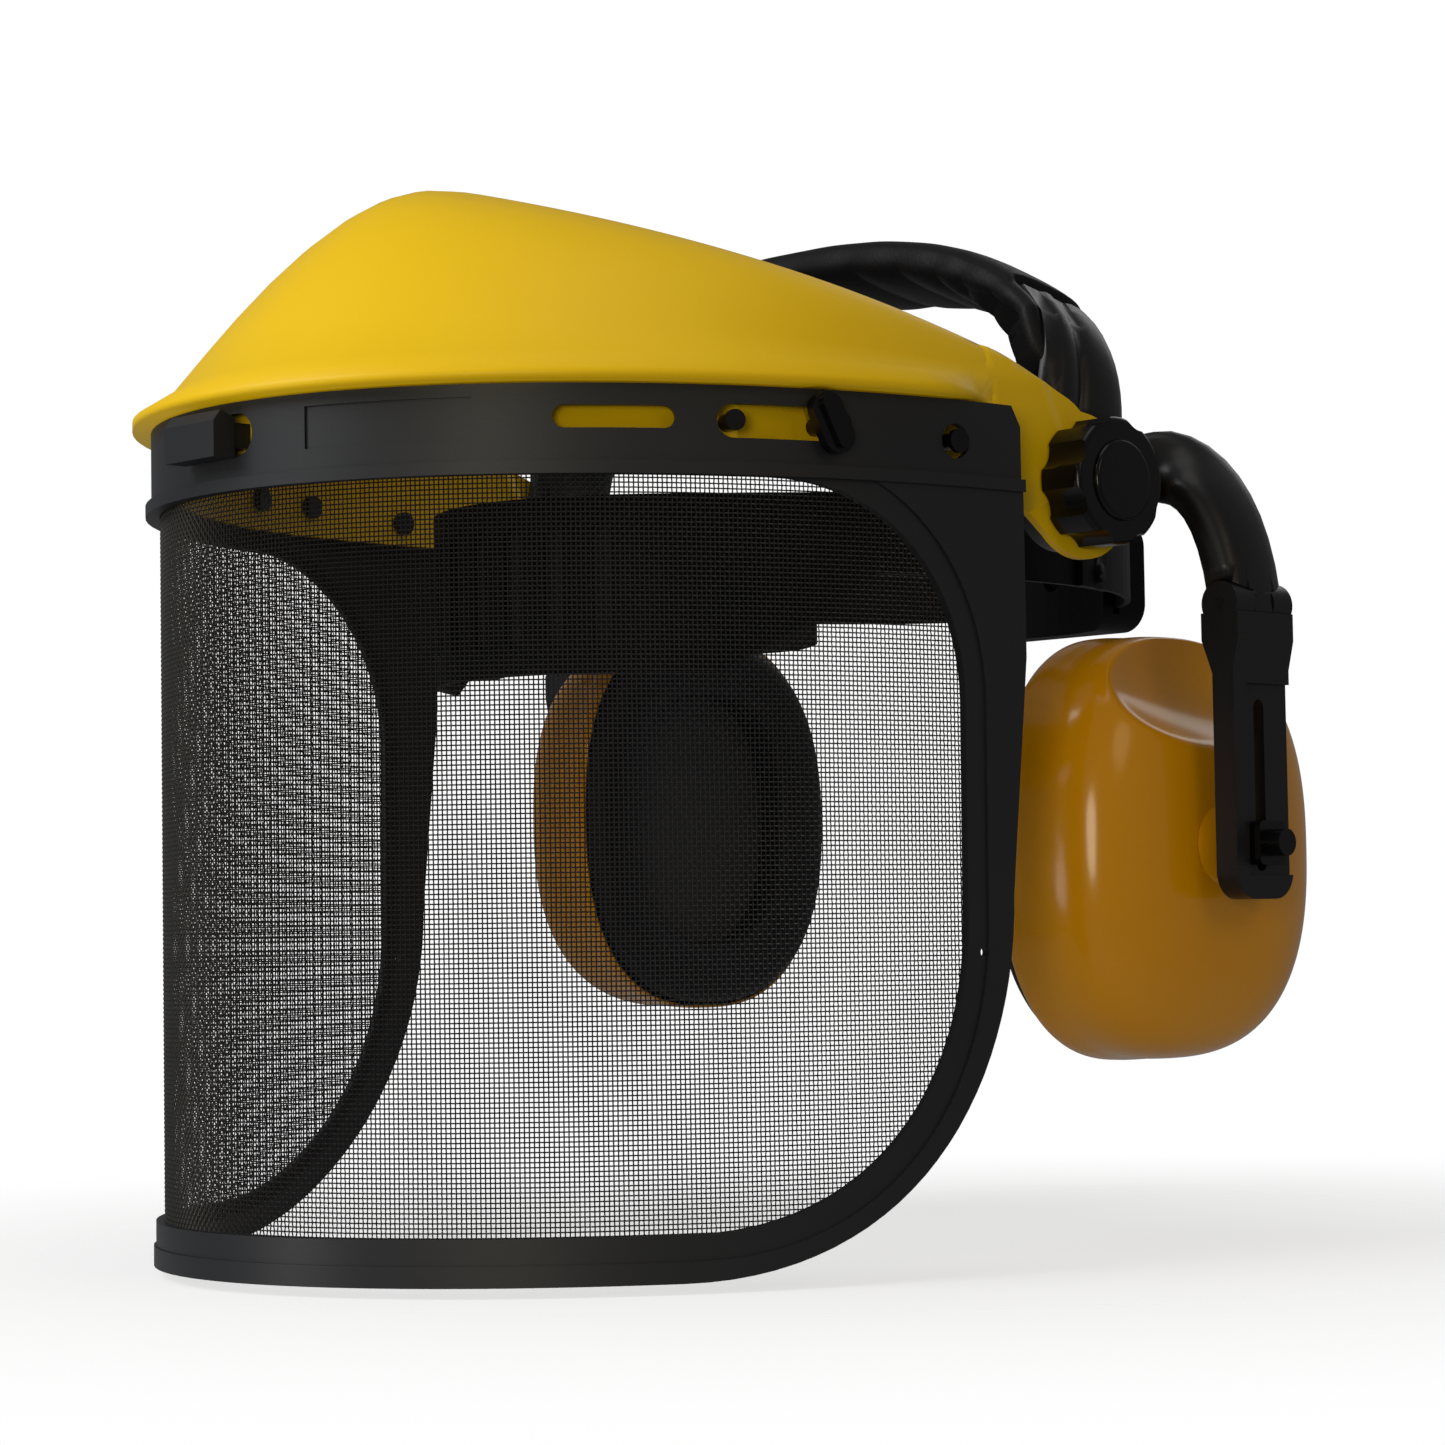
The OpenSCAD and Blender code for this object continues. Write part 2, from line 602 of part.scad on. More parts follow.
// Extruded outline that faces along Y, from y0 to y1
module face_y(y0, y1) translate([0, y1, ratchet_z]) rotate([90, 0, 0]) linear_extrude(y1 - y0) children();
housing_h = side_h + 12;
module strap_room(t) head_wall(head_band_t - clear, head_band_t + seat + strap_t + clear, 180 - t, 180 + t,
    side_top - side_h - 0.6, side_top - 0.4);
module ratchet_back() color(grey) difference() {
    intersection() {
        face_y(nape_y - 24, nape_y - clear) housing_outline(ratchet_w, housing_h);
        head_wall(-2, head_band_t - clear - seat, 150, 210, -60, 20);
    }
    face_y(nape_y - 30, nape_y + 10) circle(3 + run);
}
module ratchet_cover() color(grey) difference() {
    intersection() {
        face_y(nape_y - 24, cover_y) housing_outline(ratchet_w, housing_h);
        head_wall(head_band_t - clear, 40, 150, 210, -60, 20);
    }
    strap_room(40);
    face_y(nape_y - 30, cover_y + 10) circle(4 + run);
    face_y(nape_y - 30, nape_y + strap_t + clear + 0.2) circle(pinion_r + clear);
}
// Pinion between the two racks, on the knob's spindle
module ratchet_pinion() color("#5a5a5e") {
    tip = pinion_r - 2 * clear;
    difference() {
        face_y(nape_y - clear + seat, nape_y + strap_t + clear) {
            circle(tip - tooth_h);
            for (i = [0:pinion_n - 1]) rotate(i * 360 / pinion_n)
                polygon([[tip - tooth_h - 0.4, -1], [tip, -0.45], [tip, 0.45], [tip - tooth_h - 0.4, 1]]);
        }
        face_y(nape_y - 30, cover_y + 10) circle(2);
    }
}
module ratchet_knob() color(black) {
    y0 = cover_y + clear;
    difference() {
        translate([0, y0 + ratchet_d, ratchet_z]) rotate([90, 0, 0]) rotate_extrude() {
            square([ratchet_r - 2, ratchet_d]);
            translate([0, 2]) square([ratchet_r, ratchet_d - 2]);
            translate([ratchet_r - 2, 2]) circle(2);
        }
        for (i = [0:11]) translate([0, y0 - 1, ratchet_z]) rotate([0, i * 30, 0])
            translate([ratchet_r + 1.6, 0, 0])
            rotate([-90, 0, 0]) cylinder(r = 3, h = ratchet_d + 2);
    }
    face_y(nape_y + strap_t + clear + seat, y0 + eps) circle(4);
    face_y(nape_y - 2.6, y0 + eps) circle(1.95);
}

module pivot_post() color(black) {
    along_x(band_x - head_band_t - 1.8, band_x - head_band_t - seat - 0.2) circle(shaft_r + 1.5);
    along_x(band_x - head_band_t - 1.8, band_x + 1) circle(shaft_r - 1);
    along_x(band_x + seat, band_x + 2.5) circle(standoff_r + 2);
    along_x(band_x + seat, shoulder_x) circle(standoff_r);
    along_x(shoulder_x - 1, shaft_end) circle(shaft_r);
}
module friction_washers() color("dimgray") both_sides() {
    sides = [shoulder_x, hub_x + hub_t, ear_half_w];
    for (x = sides) along_x(x + seat, x + seat + washer_t) difference() {
        circle(shaft_r + 7);
        circle(shaft_r + run);
    }
}
module pivot_knob() color(black) difference() {
    translate([knob_x, 0, 0]) rotate([0, 90, 0]) rotate_extrude() {
        square([knob_r - 1.6, knob_t - 1.2]);
        square([knob_r, knob_t - 2.8]);
        translate([knob_r - 1.6, knob_t - 2.8]) circle(1.6);
        square([knob_r - 7, knob_t]);
        translate([knob_r - 7, knob_t - 1.2]) circle(1.2);
    }
    along_x(knob_x - 1, shaft_end + clear) circle(shaft_r + run);
    for (i = [0:scallop_n - 1]) rotate([360 * (i + 0.5) / scallop_n, 0, 0]) translate([0, knob_r + 4.4, 0])
        along_x(knob_x - 1, knob_x + knob_t + 1) circle(6);
}

// Headband: the arch is a superellipse in a plane that leans backwards
module leaning() rotate([-lean, 0, 0]) children();
arch_n = 2.3;
function arch_mid(k) = [0, arch_z] + super_pt(arch_half_w, arch_rise, arch_n, k);
function arch_pt(o, k) = let (d = unit(arch_mid(k + 0.5) - arch_mid(k - 0.5))) arch_mid(k) + o * [d.y, -d.x];
strip_end = 30;
pad_end = 40;
module strip_solid(grow) {
    half = strip_t / 2 + grow;
    steps = 60;
    turn = [for (i = [0:steps]) strip_end + (180 - 2 * strip_end) * i / steps];
    leaning() translate([0, strip_w / 2 + grow, 0]) rotate([90, 0, 0]) linear_extrude(strip_w + 2 * grow)
        polygon(concat([for (k = turn) arch_pt(half, k)], [for (i = [steps:-1:0]) arch_pt(-half, turn[i])]));
}
module headband_strip() color("silver") strip_solid(0);
module headband_pad() color("#1c1c1e") difference() {
    rows = gather_n * 4;
    ring = 14;
    leaning() loft([for (i = [0:rows])
        let (f = i / rows, k = mix(pad_end, 180 - pad_end, f), g = gather_h * sin(360 * gather_n * f),
            close = sqrt(max(0.3, 1 - pow(abs(2 * f - 1), 12))))
        [for (j = [0:ring - 1])
            let (a = 360 * j / ring, q = super_pt(pad_w / 2 * close, pad_t / 2 * close, 3, a),
                o = q.y - pad_drop + (q.y < 0 ? g * abs(sin(a)) : 0), p = arch_pt(o, k)) [p.x, q.x, p.y]]]);
    strip_solid(seat);
}
// Socket at the headband's end: a hub on the pivot and a two-lobed tower that takes the spring strip
function tower_path(low) = [[3.2, 0, low], [2.9, 0, 30], [0, 0, 42], [-10.5, 0, 50]];
module tower_side() polygon([[0.4, 8.5], [0.4, 30], [-4.8, 41], [-13.8, 49], [-9, 52], [-1.6, 44],
    [1, 38], [3.4, 26],
    [3.4, 8.5]]);
// Rounded lobe up the tower from a height of low, y behind its middle, w half as wide, slimmer at the top
module lobe(y, w, low) {
    steps = 9;
    sides = 14;
    path = tower_path(low);
    loft([for (i = [0:steps]) let (u = i / steps, c = bezier(path, u), d = slope_of(path, u),
        slim = 1 - 0.2 * u)
        [for (j = [0:sides - 1]) let (q = super_pt(mix(2.5, 3.1, u), w * slim, 2.3, 360 * (j + 0.5) / sides))
            c + [hub_x + d.z * q.x, y * slim + q.y, -d.x * q.x]]]);
}
module socket() color(grey) difference() {
    union() {
        along_x(hub_x, hub_x + hub_t) circle(hub_r);
        leaning() translate([hub_x, strip_w / 2 + 1, 0]) rotate([90, 0, 0])
            linear_extrude(strip_w + 2) tower_side();
        leaning() lobe(-4, 5, 9);
        leaning() lobe(9.5, 8.5, 18);
    }
    along_x(hub_x - 1, hub_x + hub_t + 1) circle(shaft_r + run);
    strip_solid(seat);
}

// Elbow: a bent arm from the hub's rim out and down to the arm's joint
function bezier(p, u) =
    let (v = 1 - u) p[0] * v * v * v + p[1] * 3 * v * v * u + p[2] * 3 * v * u * u + p[3] * u * u * u;
function slope_of(p, u) =
    let (v = 1 - u) unit((p[1] - p[0]) * v * v + (p[2] - p[1]) * 2 * v * u + (p[3] - p[2]) * u * u);
elbow_end = joint_z - joint_t / 2 - 0.5;
hub_mid = hub_x + hub_t / 2;
elbow_path = [[hub_mid, hub_r - 4, 3], [hub_mid, hub_r + 18, 10.7], [arm_x - 3, arm_y, 12],
    [arm_x, arm_y, elbow_end]];
module elbow() color(grey) difference() {
    steps = 16;
    sides = 20;
    tongue = arm_w / 3 - 2 * clear;
    loft([for (i = [0:steps]) let (u = i / steps, c = bezier(elbow_path, u), d = slope_of(elbow_path, u),
            e = unit([1, 0, 0] - d * d.x), w = cross(d, e), fat = ease(u * 1.6))
        [for (j = [0:sides - 1])
            let (q = super_pt(mix(hub_t, joint_t, fat) / 2, mix(13, arm_w, fat) / 2, 2.8, 360 * j / sides))
            c + e * q.x + w * q.y]]);
    along_x(hub_x - 1, hub_x + hub_t + 1) circle(hub_r + seat);
    along_x(hub_x + hub_t + seat, hub_x + 40) circle(max(ear_r, knob_r) + clear);
    difference() {
        translate([pin_x, arm_y, joint_z - 10]) cube([30, 40, 20], center = true);
        pin_bar(knuckle_r, 0, tongue);
    }
    for (m = [-1, 1]) translate([pin_x, arm_y + m * (tongue / 2 + 10), joint_z + joint_gap - 5])
        cube([30, 20, 10], center = true);
    for (m = [-1, 1]) pin_bar(knuckle_r + clear, m * arm_w / 3, arm_w / 3 + clear);
    pin_bar(pin_r + seat, 0, arm_w + 10);
}
// Right side: the mirror image, with its ear cup at a height of its own
module right_side() mirror([1, 0, 0]) children();
module right_cup() {
    $cup_z = arm_z + cup_up_right;
    right_side() children();
}
// Round bar on the arm's hinge line, centred y from the arm's middle
module pin_bar(r, y, l) translate([pin_x, arm_y + y + l / 2, joint_z]) rotate([90, 0, 0])
    cylinder(r = r, h = l);
module arm_pin() color("#5a5a5e") {
    pin_bar(pin_r, 0.5, arm_w + 1);
    pin_bar(pin_r + 1.2, arm_w / 2 + 1 + seat, 2);
}
module arm_outline() {
    r = 7;
    translate([-arm_w / 2, r]) square([arm_w, arm_l - r - joint_gap]);
    translate([-arm_w / 2 + r, 0]) square([arm_w - 2 * r, r + 1]);
    for (m = [-1, 1]) translate([m * (arm_w / 2 - r), r]) circle(r);
}
// Slotted arm below the joint, with a rim round its bar
slot_low = arm_z + 9;
slot_top = arm_z + cup_up + slide_travel + 8;
module arm_face(x0, x1) translate([x0, arm_y, arm_z]) rotate([90, 0, 90]) linear_extrude(x1 - x0) children();
module arm() color(black) difference() {
    union() {
        difference() {
            arm_face(bar_in, bar_out + rim_h) arm_outline();
            arm_face(bar_out, bar_out + rim_h + 1) translate([-arm_w / 2 + 5, 6]) square([arm_w, arm_l - 26]);
        }
        translate([arm_x, arm_y + arm_w / 2, joint_z]) rotate([90, 0, 0])
            linear_extrude(arm_w) joint_profile();
        for (m = [-1, 1]) {
            pin_bar(knuckle_r, m * arm_w / 3, arm_w / 3);
            translate([pin_x - knuckle_r + 0.5, arm_y + m * arm_w / 3 - arm_w / 6, joint_z - joint_gap - 3])
                cube([2 * knuckle_r - 1, arm_w / 3, joint_gap + 3]);
        }
    }
    pin_bar(knuckle_r + clear, 0, arm_w / 3);
    pin_bar(pin_r + run, 0, arm_w + 10);
    arm_face(bar_in - 1, bar_out + rim_h + 1) translate([0, (slot_low + slot_top) / 2 - arm_z])
        stadium_up(slot_w, slot_top - slot_low + slot_w);
}
// Side profile of the thick head of an arm, from its pin
module joint_profile() polygon([[-bar_t / 2 + 0.6, -19], [-joint_t / 2, -9], [-joint_t / 2, -joint_gap],
    [joint_t / 2 - 0.3, -joint_gap], [joint_t / 2 - 0.3, -9], [bar_t / 2 + 0.6, -19]]);

// Slider: clamp block outside the bar, neck in the slot and flange inside that holds the ball
module on_cup(x) translate([x, arm_y, $cup_z]) rotate([0, 90, 0]) children();
flange_x = bar_in - clear - flange_t;
block_x = bar_out + clear;
module slider() color(black) difference() {
    union() {
        on_cup(block_x) linear_extrude(3.4) housing_small(11, 10);
        on_cup(block_x + 3) cylinder(r = 3.4, h = 5);
        on_cup(flange_x + eps) translate([-4, -slot_w / 2 + clear, 0])
            cube([8, slot_w - 2 * clear, block_x - flange_x]);
        on_cup(flange_x) cylinder(r = 6.5, h = flange_t);
    }
    on_cup(flange_x - 1) cylinder(r = 2 + run, h = flange_t);
}
module housing_small(w, h) {
    square([w - 3, h], center = true);
    square([w, h - 3], center = true);
    for (mx = [-1, 1], mz = [-1, 1]) translate([mx * (w / 2 - 1.5), mz * (h / 2 - 1.5)]) circle(1.5);
}
module cup_ball() color("#5a5a5e") on_cup(ball_x) {
    sphere(ball_r);
    cylinder(r = 2, h = flange_x - ball_x + flange_t - 1.2);
}

// Point of an ear cup's skin at s of its full outline, k degrees round, moved in by d, hollowed by the scoop
cup_n = 2.5;
function cup_pt(s, k, d) =
    let (q = super_pt((cup_half_w - d) * s, (cup_half_h - d) * s, cup_n, k), y = cup_y + q.x,
        z = $cup_z + q.y,
        x = rim_x + (shell_d - d) * pow(max(0, 1 - pow(s, 2.6)), 1 / 3.2),
        c = [face_x + 31, arm_y + 9, $cup_z + 49],
        h = pow(scoop_r + d, 2) - pow(y - c.y, 2) - pow(z - c.z, 2))
    [h > 0 ? min(x, c.x - sqrt(h)) : x, y, z];
function cup_ring(s, d) = [for (k = [0:8:352]) cup_pt(s, k, d)];
module cup_shell() color("goldenrod") difference() {
    outside = [0.12, 0.3, 0.42, 0.52, 0.62, 0.71, 0.79, 0.86, 0.92, 0.96, 0.985, 0.997, 1];
    inside = [1, 0.99, 0.96, 0.9, 0.82, 0.72, 0.58, 0.42, 0.15];
    loft(concat([for (s = outside) cup_ring(s, 0)], [for (s = inside) cup_ring(s, shell_t)]));
    on_cup(face_x - 20) cylinder(r = boss_r - 1 + seat, h = 40);
}
// Domed boss in the shell's outer face, with the socket for the ball
boss_r = 10;
module cup_boss() color("goldenrod") translate([ball_x, arm_y, $cup_z]) rotate([0, 90, 0]) rotate_extrude()
    polygon(concat([[0, -ball_r - 2], [boss_r - 1, -ball_r - 2], [boss_r - 1, ball_set + seat],
        [boss_r, ball_set + seat]],
        arc_pts([0, ball_set - 16.8], 19.8, 59.5, 78.3, 8), arc_pts([0, 0], ball_r + clear, 45, -89.9, 16),
        [[0, -ball_r - clear]]));
module cup_oval(a, b) polygon([for (k = [0:6:354]) super_pt(a, b, cup_n, k)]);
module cup_slab(x0, x1) translate([x0, cup_y, $cup_z]) rotate([90, 0, 90]) linear_extrude(x1 - x0) children();
module cup_plate() color(black) cup_slab(plate_x + seat, rim_x - seat) difference() {
    cup_oval(cup_half_w - 0.6, cup_half_h - 0.6);
    cup_oval(ear_half_y + 3, ear_half_z + 3);
}
module cup_foam() color("#4a4a4e") cup_slab(rim_x + seat, rim_x + 11)
    cup_oval(cup_half_w - shell_t - 3, cup_half_h - shell_t - 3);
// Ear cushion: a crowned ring drawn in at its sides
module cushion() color("#1c1c1e") {
    rows = 44;
    ring = 14;
    mid = [(cup_half_w + ear_half_y) / 2, (cup_half_h + ear_half_z) / 2];
    half = (cup_half_w - ear_half_y) / 2 - 0.5;
    thick = (cushion_t - clear) / 2;
    loft([for (i = [0:rows - 1])
        let (c = super_pt(mid.x, mid.y, cup_n, -360 * i / rows), n = unit([c.x / mid.x, c.y / mid.y]))
        [for (j = [0:ring - 1])
            let (q = super_pt(half, thick, 2.4, 360 * j / ring), p = c + n * q.x * (q.y > 0 ? 0.9 : 1))
            [cushion_x + thick + q.y, cup_y + p.x, $cup_z + p.y]]], true);
}

brow_guard();
visor_frame();
visor_mesh();
front_latch();
visor_pegs();
visor_hooks();
head_band();
sweat_band();
nape_strap(1);  // nape_strap_left
nape_strap(-1);  // nape_strap_right
ratchet_back();
ratchet_cover();
ratchet_pinion();
ratchet_knob();
pivot_post();  // pivot_post_left
right_side() pivot_post();  // pivot_post_right
friction_washers();
pivot_knob();  // pivot_knob_left
right_side() pivot_knob();  // pivot_knob_right
headband_strip();
headband_pad();
socket();  // socket_left
right_side() socket();  // socket_right
elbow();  // elbow_left
right_side() elbow();  // elbow_right
arm_pin();  // arm_pin_left
right_side() arm_pin();  // arm_pin_right
arm();  // arm_left
right_side() arm();  // arm_right
slider();  // slider_left
right_cup() slider();  // slider_right
cup_ball();  // cup_ball_left
right_cup() cup_ball();  // cup_ball_right
cup_shell();  // cup_shell_left
right_cup() cup_shell();  // cup_shell_right
cup_boss();  // cup_boss_left
right_cup() cup_boss();  // cup_boss_right
cup_plate();  // cup_plate_left
right_cup() cup_plate();  // cup_plate_right
cup_foam();  // cup_foam_left
right_cup() cup_foam();  // cup_foam_right
cushion();  // cushion_left
right_cup() cushion();  // cushion_right
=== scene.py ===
import json
import math
import bmesh
import bpy
import numpy as np
from mathutils import Matrix, Vector

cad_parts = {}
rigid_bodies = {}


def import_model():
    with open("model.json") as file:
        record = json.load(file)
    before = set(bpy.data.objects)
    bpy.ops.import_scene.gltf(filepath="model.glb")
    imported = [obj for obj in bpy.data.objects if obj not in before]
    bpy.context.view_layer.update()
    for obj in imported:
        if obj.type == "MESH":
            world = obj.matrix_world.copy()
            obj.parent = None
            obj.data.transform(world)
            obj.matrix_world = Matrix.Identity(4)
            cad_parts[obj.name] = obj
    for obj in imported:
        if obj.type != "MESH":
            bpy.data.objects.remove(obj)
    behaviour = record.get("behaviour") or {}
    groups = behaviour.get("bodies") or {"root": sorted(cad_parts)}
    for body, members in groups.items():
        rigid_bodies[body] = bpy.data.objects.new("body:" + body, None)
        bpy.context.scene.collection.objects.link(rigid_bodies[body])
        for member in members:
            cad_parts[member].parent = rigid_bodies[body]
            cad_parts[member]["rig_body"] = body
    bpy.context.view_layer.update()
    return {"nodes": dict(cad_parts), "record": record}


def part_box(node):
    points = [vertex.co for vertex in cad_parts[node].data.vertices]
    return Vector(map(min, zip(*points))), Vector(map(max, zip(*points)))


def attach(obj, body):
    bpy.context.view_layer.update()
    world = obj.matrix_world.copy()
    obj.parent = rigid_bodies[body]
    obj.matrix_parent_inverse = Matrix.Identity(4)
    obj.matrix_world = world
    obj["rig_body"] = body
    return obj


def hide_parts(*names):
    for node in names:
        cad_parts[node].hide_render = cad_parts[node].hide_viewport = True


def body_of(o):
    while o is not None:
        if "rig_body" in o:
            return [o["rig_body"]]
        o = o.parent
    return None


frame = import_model()
print("frame loaded")

# Camera about a metre off, at the wearer's left front, a little below the visor's middle
cameraValues = {"place": (0.7263, -0.7033, -0.1119), "target": (0.010, -0.0354, -0.0554),
                "rollDegrees": -0.892, "azimuthDegrees": 47.0, "lens": 93.44, "sensor": 36,
                "clip": (0.01, 20)}


def makeCamera(values):
    data = bpy.data.cameras.new("camera")
    data.lens = values["lens"]
    data.sensor_width = values["sensor"]
    data.clip_start, data.clip_end = values["clip"]
    camera = bpy.data.objects.new("camera", data)
    bpy.context.scene.collection.objects.link(camera)
    place = Vector(values["place"])
    ahead = (Vector(values["target"]) - place).normalized()
    azimuth, roll = math.radians(values["azimuthDegrees"]), math.radians(values["rollDegrees"])
    level = Vector((math.cos(azimuth), math.sin(azimuth), 0))
    level = (level - ahead * level.dot(ahead)).normalized()
    right = level * math.cos(roll) + level.cross(ahead) * math.sin(roll)
    turn = Matrix((right, right.cross(ahead), -ahead)).transposed().to_4x4()
    camera.matrix_world = Matrix.Translation(place) @ turn
    bpy.context.scene.camera = camera


makeCamera(cameraValues)


# A node's output that can be added, multiplied and passed on to further nodes
class Sock:
    def __init__(self, tree, socket):
        self.tree = tree
        self.socket = socket

    def node(self, kind, inputs, out=0, **settings):
        made = self.tree.nodes.new(kind)
        for key, value in settings.items():
            setattr(made, key, value)
        for key, value in inputs.items():
            if isinstance(value, Sock):
                self.tree.links.new(value.socket, made.inputs[key])
            else:
                made.inputs[key].default_value = value
        return Sock(self.tree, made.outputs[out])

    def math(self, operation, other):
        return self.node("ShaderNodeMath", {0: self, 1: other}, operation=operation)

    def __add__(self, other):
        return self.math("ADD", other)

    __radd__ = __add__

    def __sub__(self, other):
        return self.math("SUBTRACT", other)

    def __mul__(self, other):
        return self.math("MULTIPLY", other)

    def noise(self, scale, detail):
        return self.node("ShaderNodeTexNoise", {"Vector": self, "Scale": scale, "Detail": detail})

    def cells(self, scale):
        return self.node("ShaderNodeTexVoronoi", {"Vector": self, "Scale": scale})

    def tint(self, dark, light):
        colours = {"Factor": self, 6: (*dark, 1), 7: (*light, 1)}
        return self.node("ShaderNodeMix", colours, out=2, data_type="RGBA")

    def bump(self, strength, distance):
        return self.node("ShaderNodeBump", {"Height": self, "Strength": strength, "Distance": distance})


# Studio: soft lights round the object, each with its place, size, power and tint, and a white background
studioValues = {"white": (1, 1, 1, 1), "skyLight": 0.19, "aim": (0, -0.03, -0.05),
                "lights": {"key": ((-0.35, -1.15, 0.75), 0.9, 11.9, (0.98, 1, 1)),
                           "side": ((1.3, -0.25, 0.55), 0.5, 1.2, (1, 0.78, 0.5)),
                           "strip": ((-0.33, -1.15, -0.22), 0.32, 1.8, (1, 0.98, 0.95)),
                           "front": ((0.8, -1.1, 0.0), 0.4, 3.6, (1, 0.9, 0.66)),
                           "top": ((0.3, -0.2, 1.3), 0.9, 2.2, (1, 0.97, 0.92)),
                           "back": ((-0.3, 1.2, 0.8), 0.8, 1.6, (1, 1, 1))}}


def makeSky(values):
    world = bpy.data.worlds.new("studio")
    world.use_nodes = True
    tree = world.node_tree
    tree.nodes.clear()
    # The camera sees plain white, while the object is lit by a faint sky
    seen = Sock(tree, tree.nodes.new("ShaderNodeLightPath").outputs["Is Camera Ray"])
    sky = seen.node("ShaderNodeBackground", {"Color": values["white"], "Strength": values["skyLight"]})
    plain = seen.node("ShaderNodeBackground", {"Color": values["white"], "Strength": 1})
    mixed = seen.node("ShaderNodeMixShader", {0: seen, 1: sky, 2: plain})
    tree.links.new(mixed.socket, tree.nodes.new("ShaderNodeOutputWorld").inputs["Surface"])
    bpy.context.scene.world = world
    bpy.context.scene.view_settings.view_transform = "Standard"


def makeLights(values):
    for name, (place, size, power, tint) in values["lights"].items():
        data = bpy.data.lights.new(name, "AREA")
        data.shape = "DISK"
        data.size = size
        data.energy = power
        data.color = tint
        light = bpy.data.objects.new(name, data)
        bpy.context.scene.collection.objects.link(light)
        light.location = place
        aim = Vector(values["aim"]) - Vector(place)
        light.rotation_euler = aim.to_track_quat("-Z", "Y").to_euler()


# Pale floor, which shows only near the object, so that its far edge melts into the white
floorValues = {"z": -0.1925, "size": 3.0, "colour": (0.95, 0.95, 0.95), "rough": 0.9, "gloss": 0.1,
               "show": 0.34, "fadeFrom": 0.1, "fadeTo": 0.42}


def makeFloor(values):
    h, z = values["size"] / 2, values["z"]
    mesh = bpy.data.meshes.new("floor")
    mesh.from_pydata([(-h, -h, z), (h, -h, z), (h, h, z), (-h, h, z)], [], [(0, 1, 2, 3)])
    floor = bpy.data.objects.new("floor", mesh)
    bpy.context.scene.collection.objects.link(floor)
    material = bpy.data.materials.new("floorPale")
    material.use_nodes = True
    tree = material.node_tree
    surface = tree.nodes["Principled BSDF"]
    surface.inputs["Base Color"].default_value = (*values["colour"], 1)
    surface.inputs["Roughness"].default_value = values["rough"]
    surface.inputs["Specular IOR Level"].default_value = values["gloss"]
    place = Sock(tree, tree.nodes.new("ShaderNodeTexCoord").outputs["Object"])
    flat = place.node("ShaderNodeVectorMath", {0: place, 1: (1, 1, 0)}, operation="MULTIPLY")
    away = flat.node("ShaderNodeVectorMath", {0: flat}, out="Value", operation="LENGTH")
    fade = {"Value": away, "From Min": values["fadeFrom"], "From Max": values["fadeTo"],
            "To Min": values["show"], "To Max": 0}
    show = away.node("ShaderNodeMapRange", fade, interpolation_type="SMOOTHSTEP")
    clear = show.node("ShaderNodeBsdfTransparent", {})
    solid = Sock(tree, surface.outputs[0])
    mixed = show.node("ShaderNodeMixShader", {0: show, 1: clear, 2: solid})
    tree.links.new(mixed.socket, tree.nodes["Material Output"].inputs["Surface"])
    mesh.materials.append(material)


makeSky(studioValues)
makeLights(studioValues)
makeFloor(floorValues)
print("studio made")

# A finish: colour and its darker shade, roughness and how far it wanders, size and depth of the grain, gloss
finishes = {
    "guard_yellow": {"colour": (0.82, 0.53, 0.003), "shade": (0.78, 0.48, 0.002),
                     "rough": 0.44, "wander": 0.05, "grain": 1400, "depth": 0.00004, "gloss": 0.2},
    "cup_yellow": {"colour": (0.70, 0.305, 0.001), "shade": (0.63, 0.26, 0.001),
                   "rough": 0.2, "wander": 0.04, "grain": 700, "depth": 0.00001, "gloss": 0.28, "coat": 0.22},
    "frame_black": {"colour": (0.013, 0.014, 0.018), "shade": (0.009, 0.010, 0.012),
                    "rough": 0.46, "wander": 0.05, "grain": 1800, "depth": 0.00003, "gloss": 0.32},
    "mesh_wire": {"colour": (0.014, 0.014, 0.016), "shade": (0.009, 0.009, 0.010),
                  "rough": 0.42, "wander": 0.05, "grain": 900, "depth": 0, "gloss": 0.35},
    "trim_black": {"colour": (0.003, 0.003, 0.0035), "shade": (0.0015, 0.0015, 0.002),
                   "rough": 0.2, "wander": 0.06, "grain": 900, "depth": 0.00001, "gloss": 0.24},
    "arm_black": {"colour": (0.007, 0.007, 0.008), "shade": (0.004, 0.004, 0.005),
                  "rough": 0.36, "wander": 0.07, "grain": 1500, "depth": 0.00003, "gloss": 0.32},
    "strap_black": {"colour": (0.004, 0.004, 0.005), "shade": (0.003, 0.003, 0.003),
                    "rough": 0.55, "wander": 0.08, "grain": 1300, "depth": 0.00003, "gloss": 0.07},
    "washer_grey": {"colour": (0.22, 0.22, 0.22), "shade": (0.17, 0.17, 0.17),
                    "rough": 0.5, "wander": 0.05, "grain": 900, "depth": 0, "gloss": 0.5},
    "spring_steel": {"colour": (0.045, 0.045, 0.050), "shade": (0.03, 0.03, 0.034),
                     "rough": 0.36, "wander": 0.1, "grain": 500, "depth": 0, "gloss": 0.5, "metal": 1.0},
    "pad_leather": {"colour": (0.005, 0.005, 0.006), "shade": (0.003, 0.003, 0.004),
                    "rough": 0.52, "wander": 0.08, "grain": 900, "depth": 0.00008, "gloss": 0.17,
                    "hide": True},
    "sweat_cloth": {"colour": (0.022, 0.022, 0.024), "shade": (0.012, 0.012, 0.013),
                    "rough": 0.85, "wander": 0.05, "grain": 1100, "depth": 0.0002, "gloss": 0.2},
    "foam_grey": {"colour": (0.060, 0.060, 0.065), "shade": (0.03, 0.03, 0.033),
                  "rough": 0.95, "wander": 0.03, "grain": 800, "depth": 0.0004, "gloss": 0.2},
}
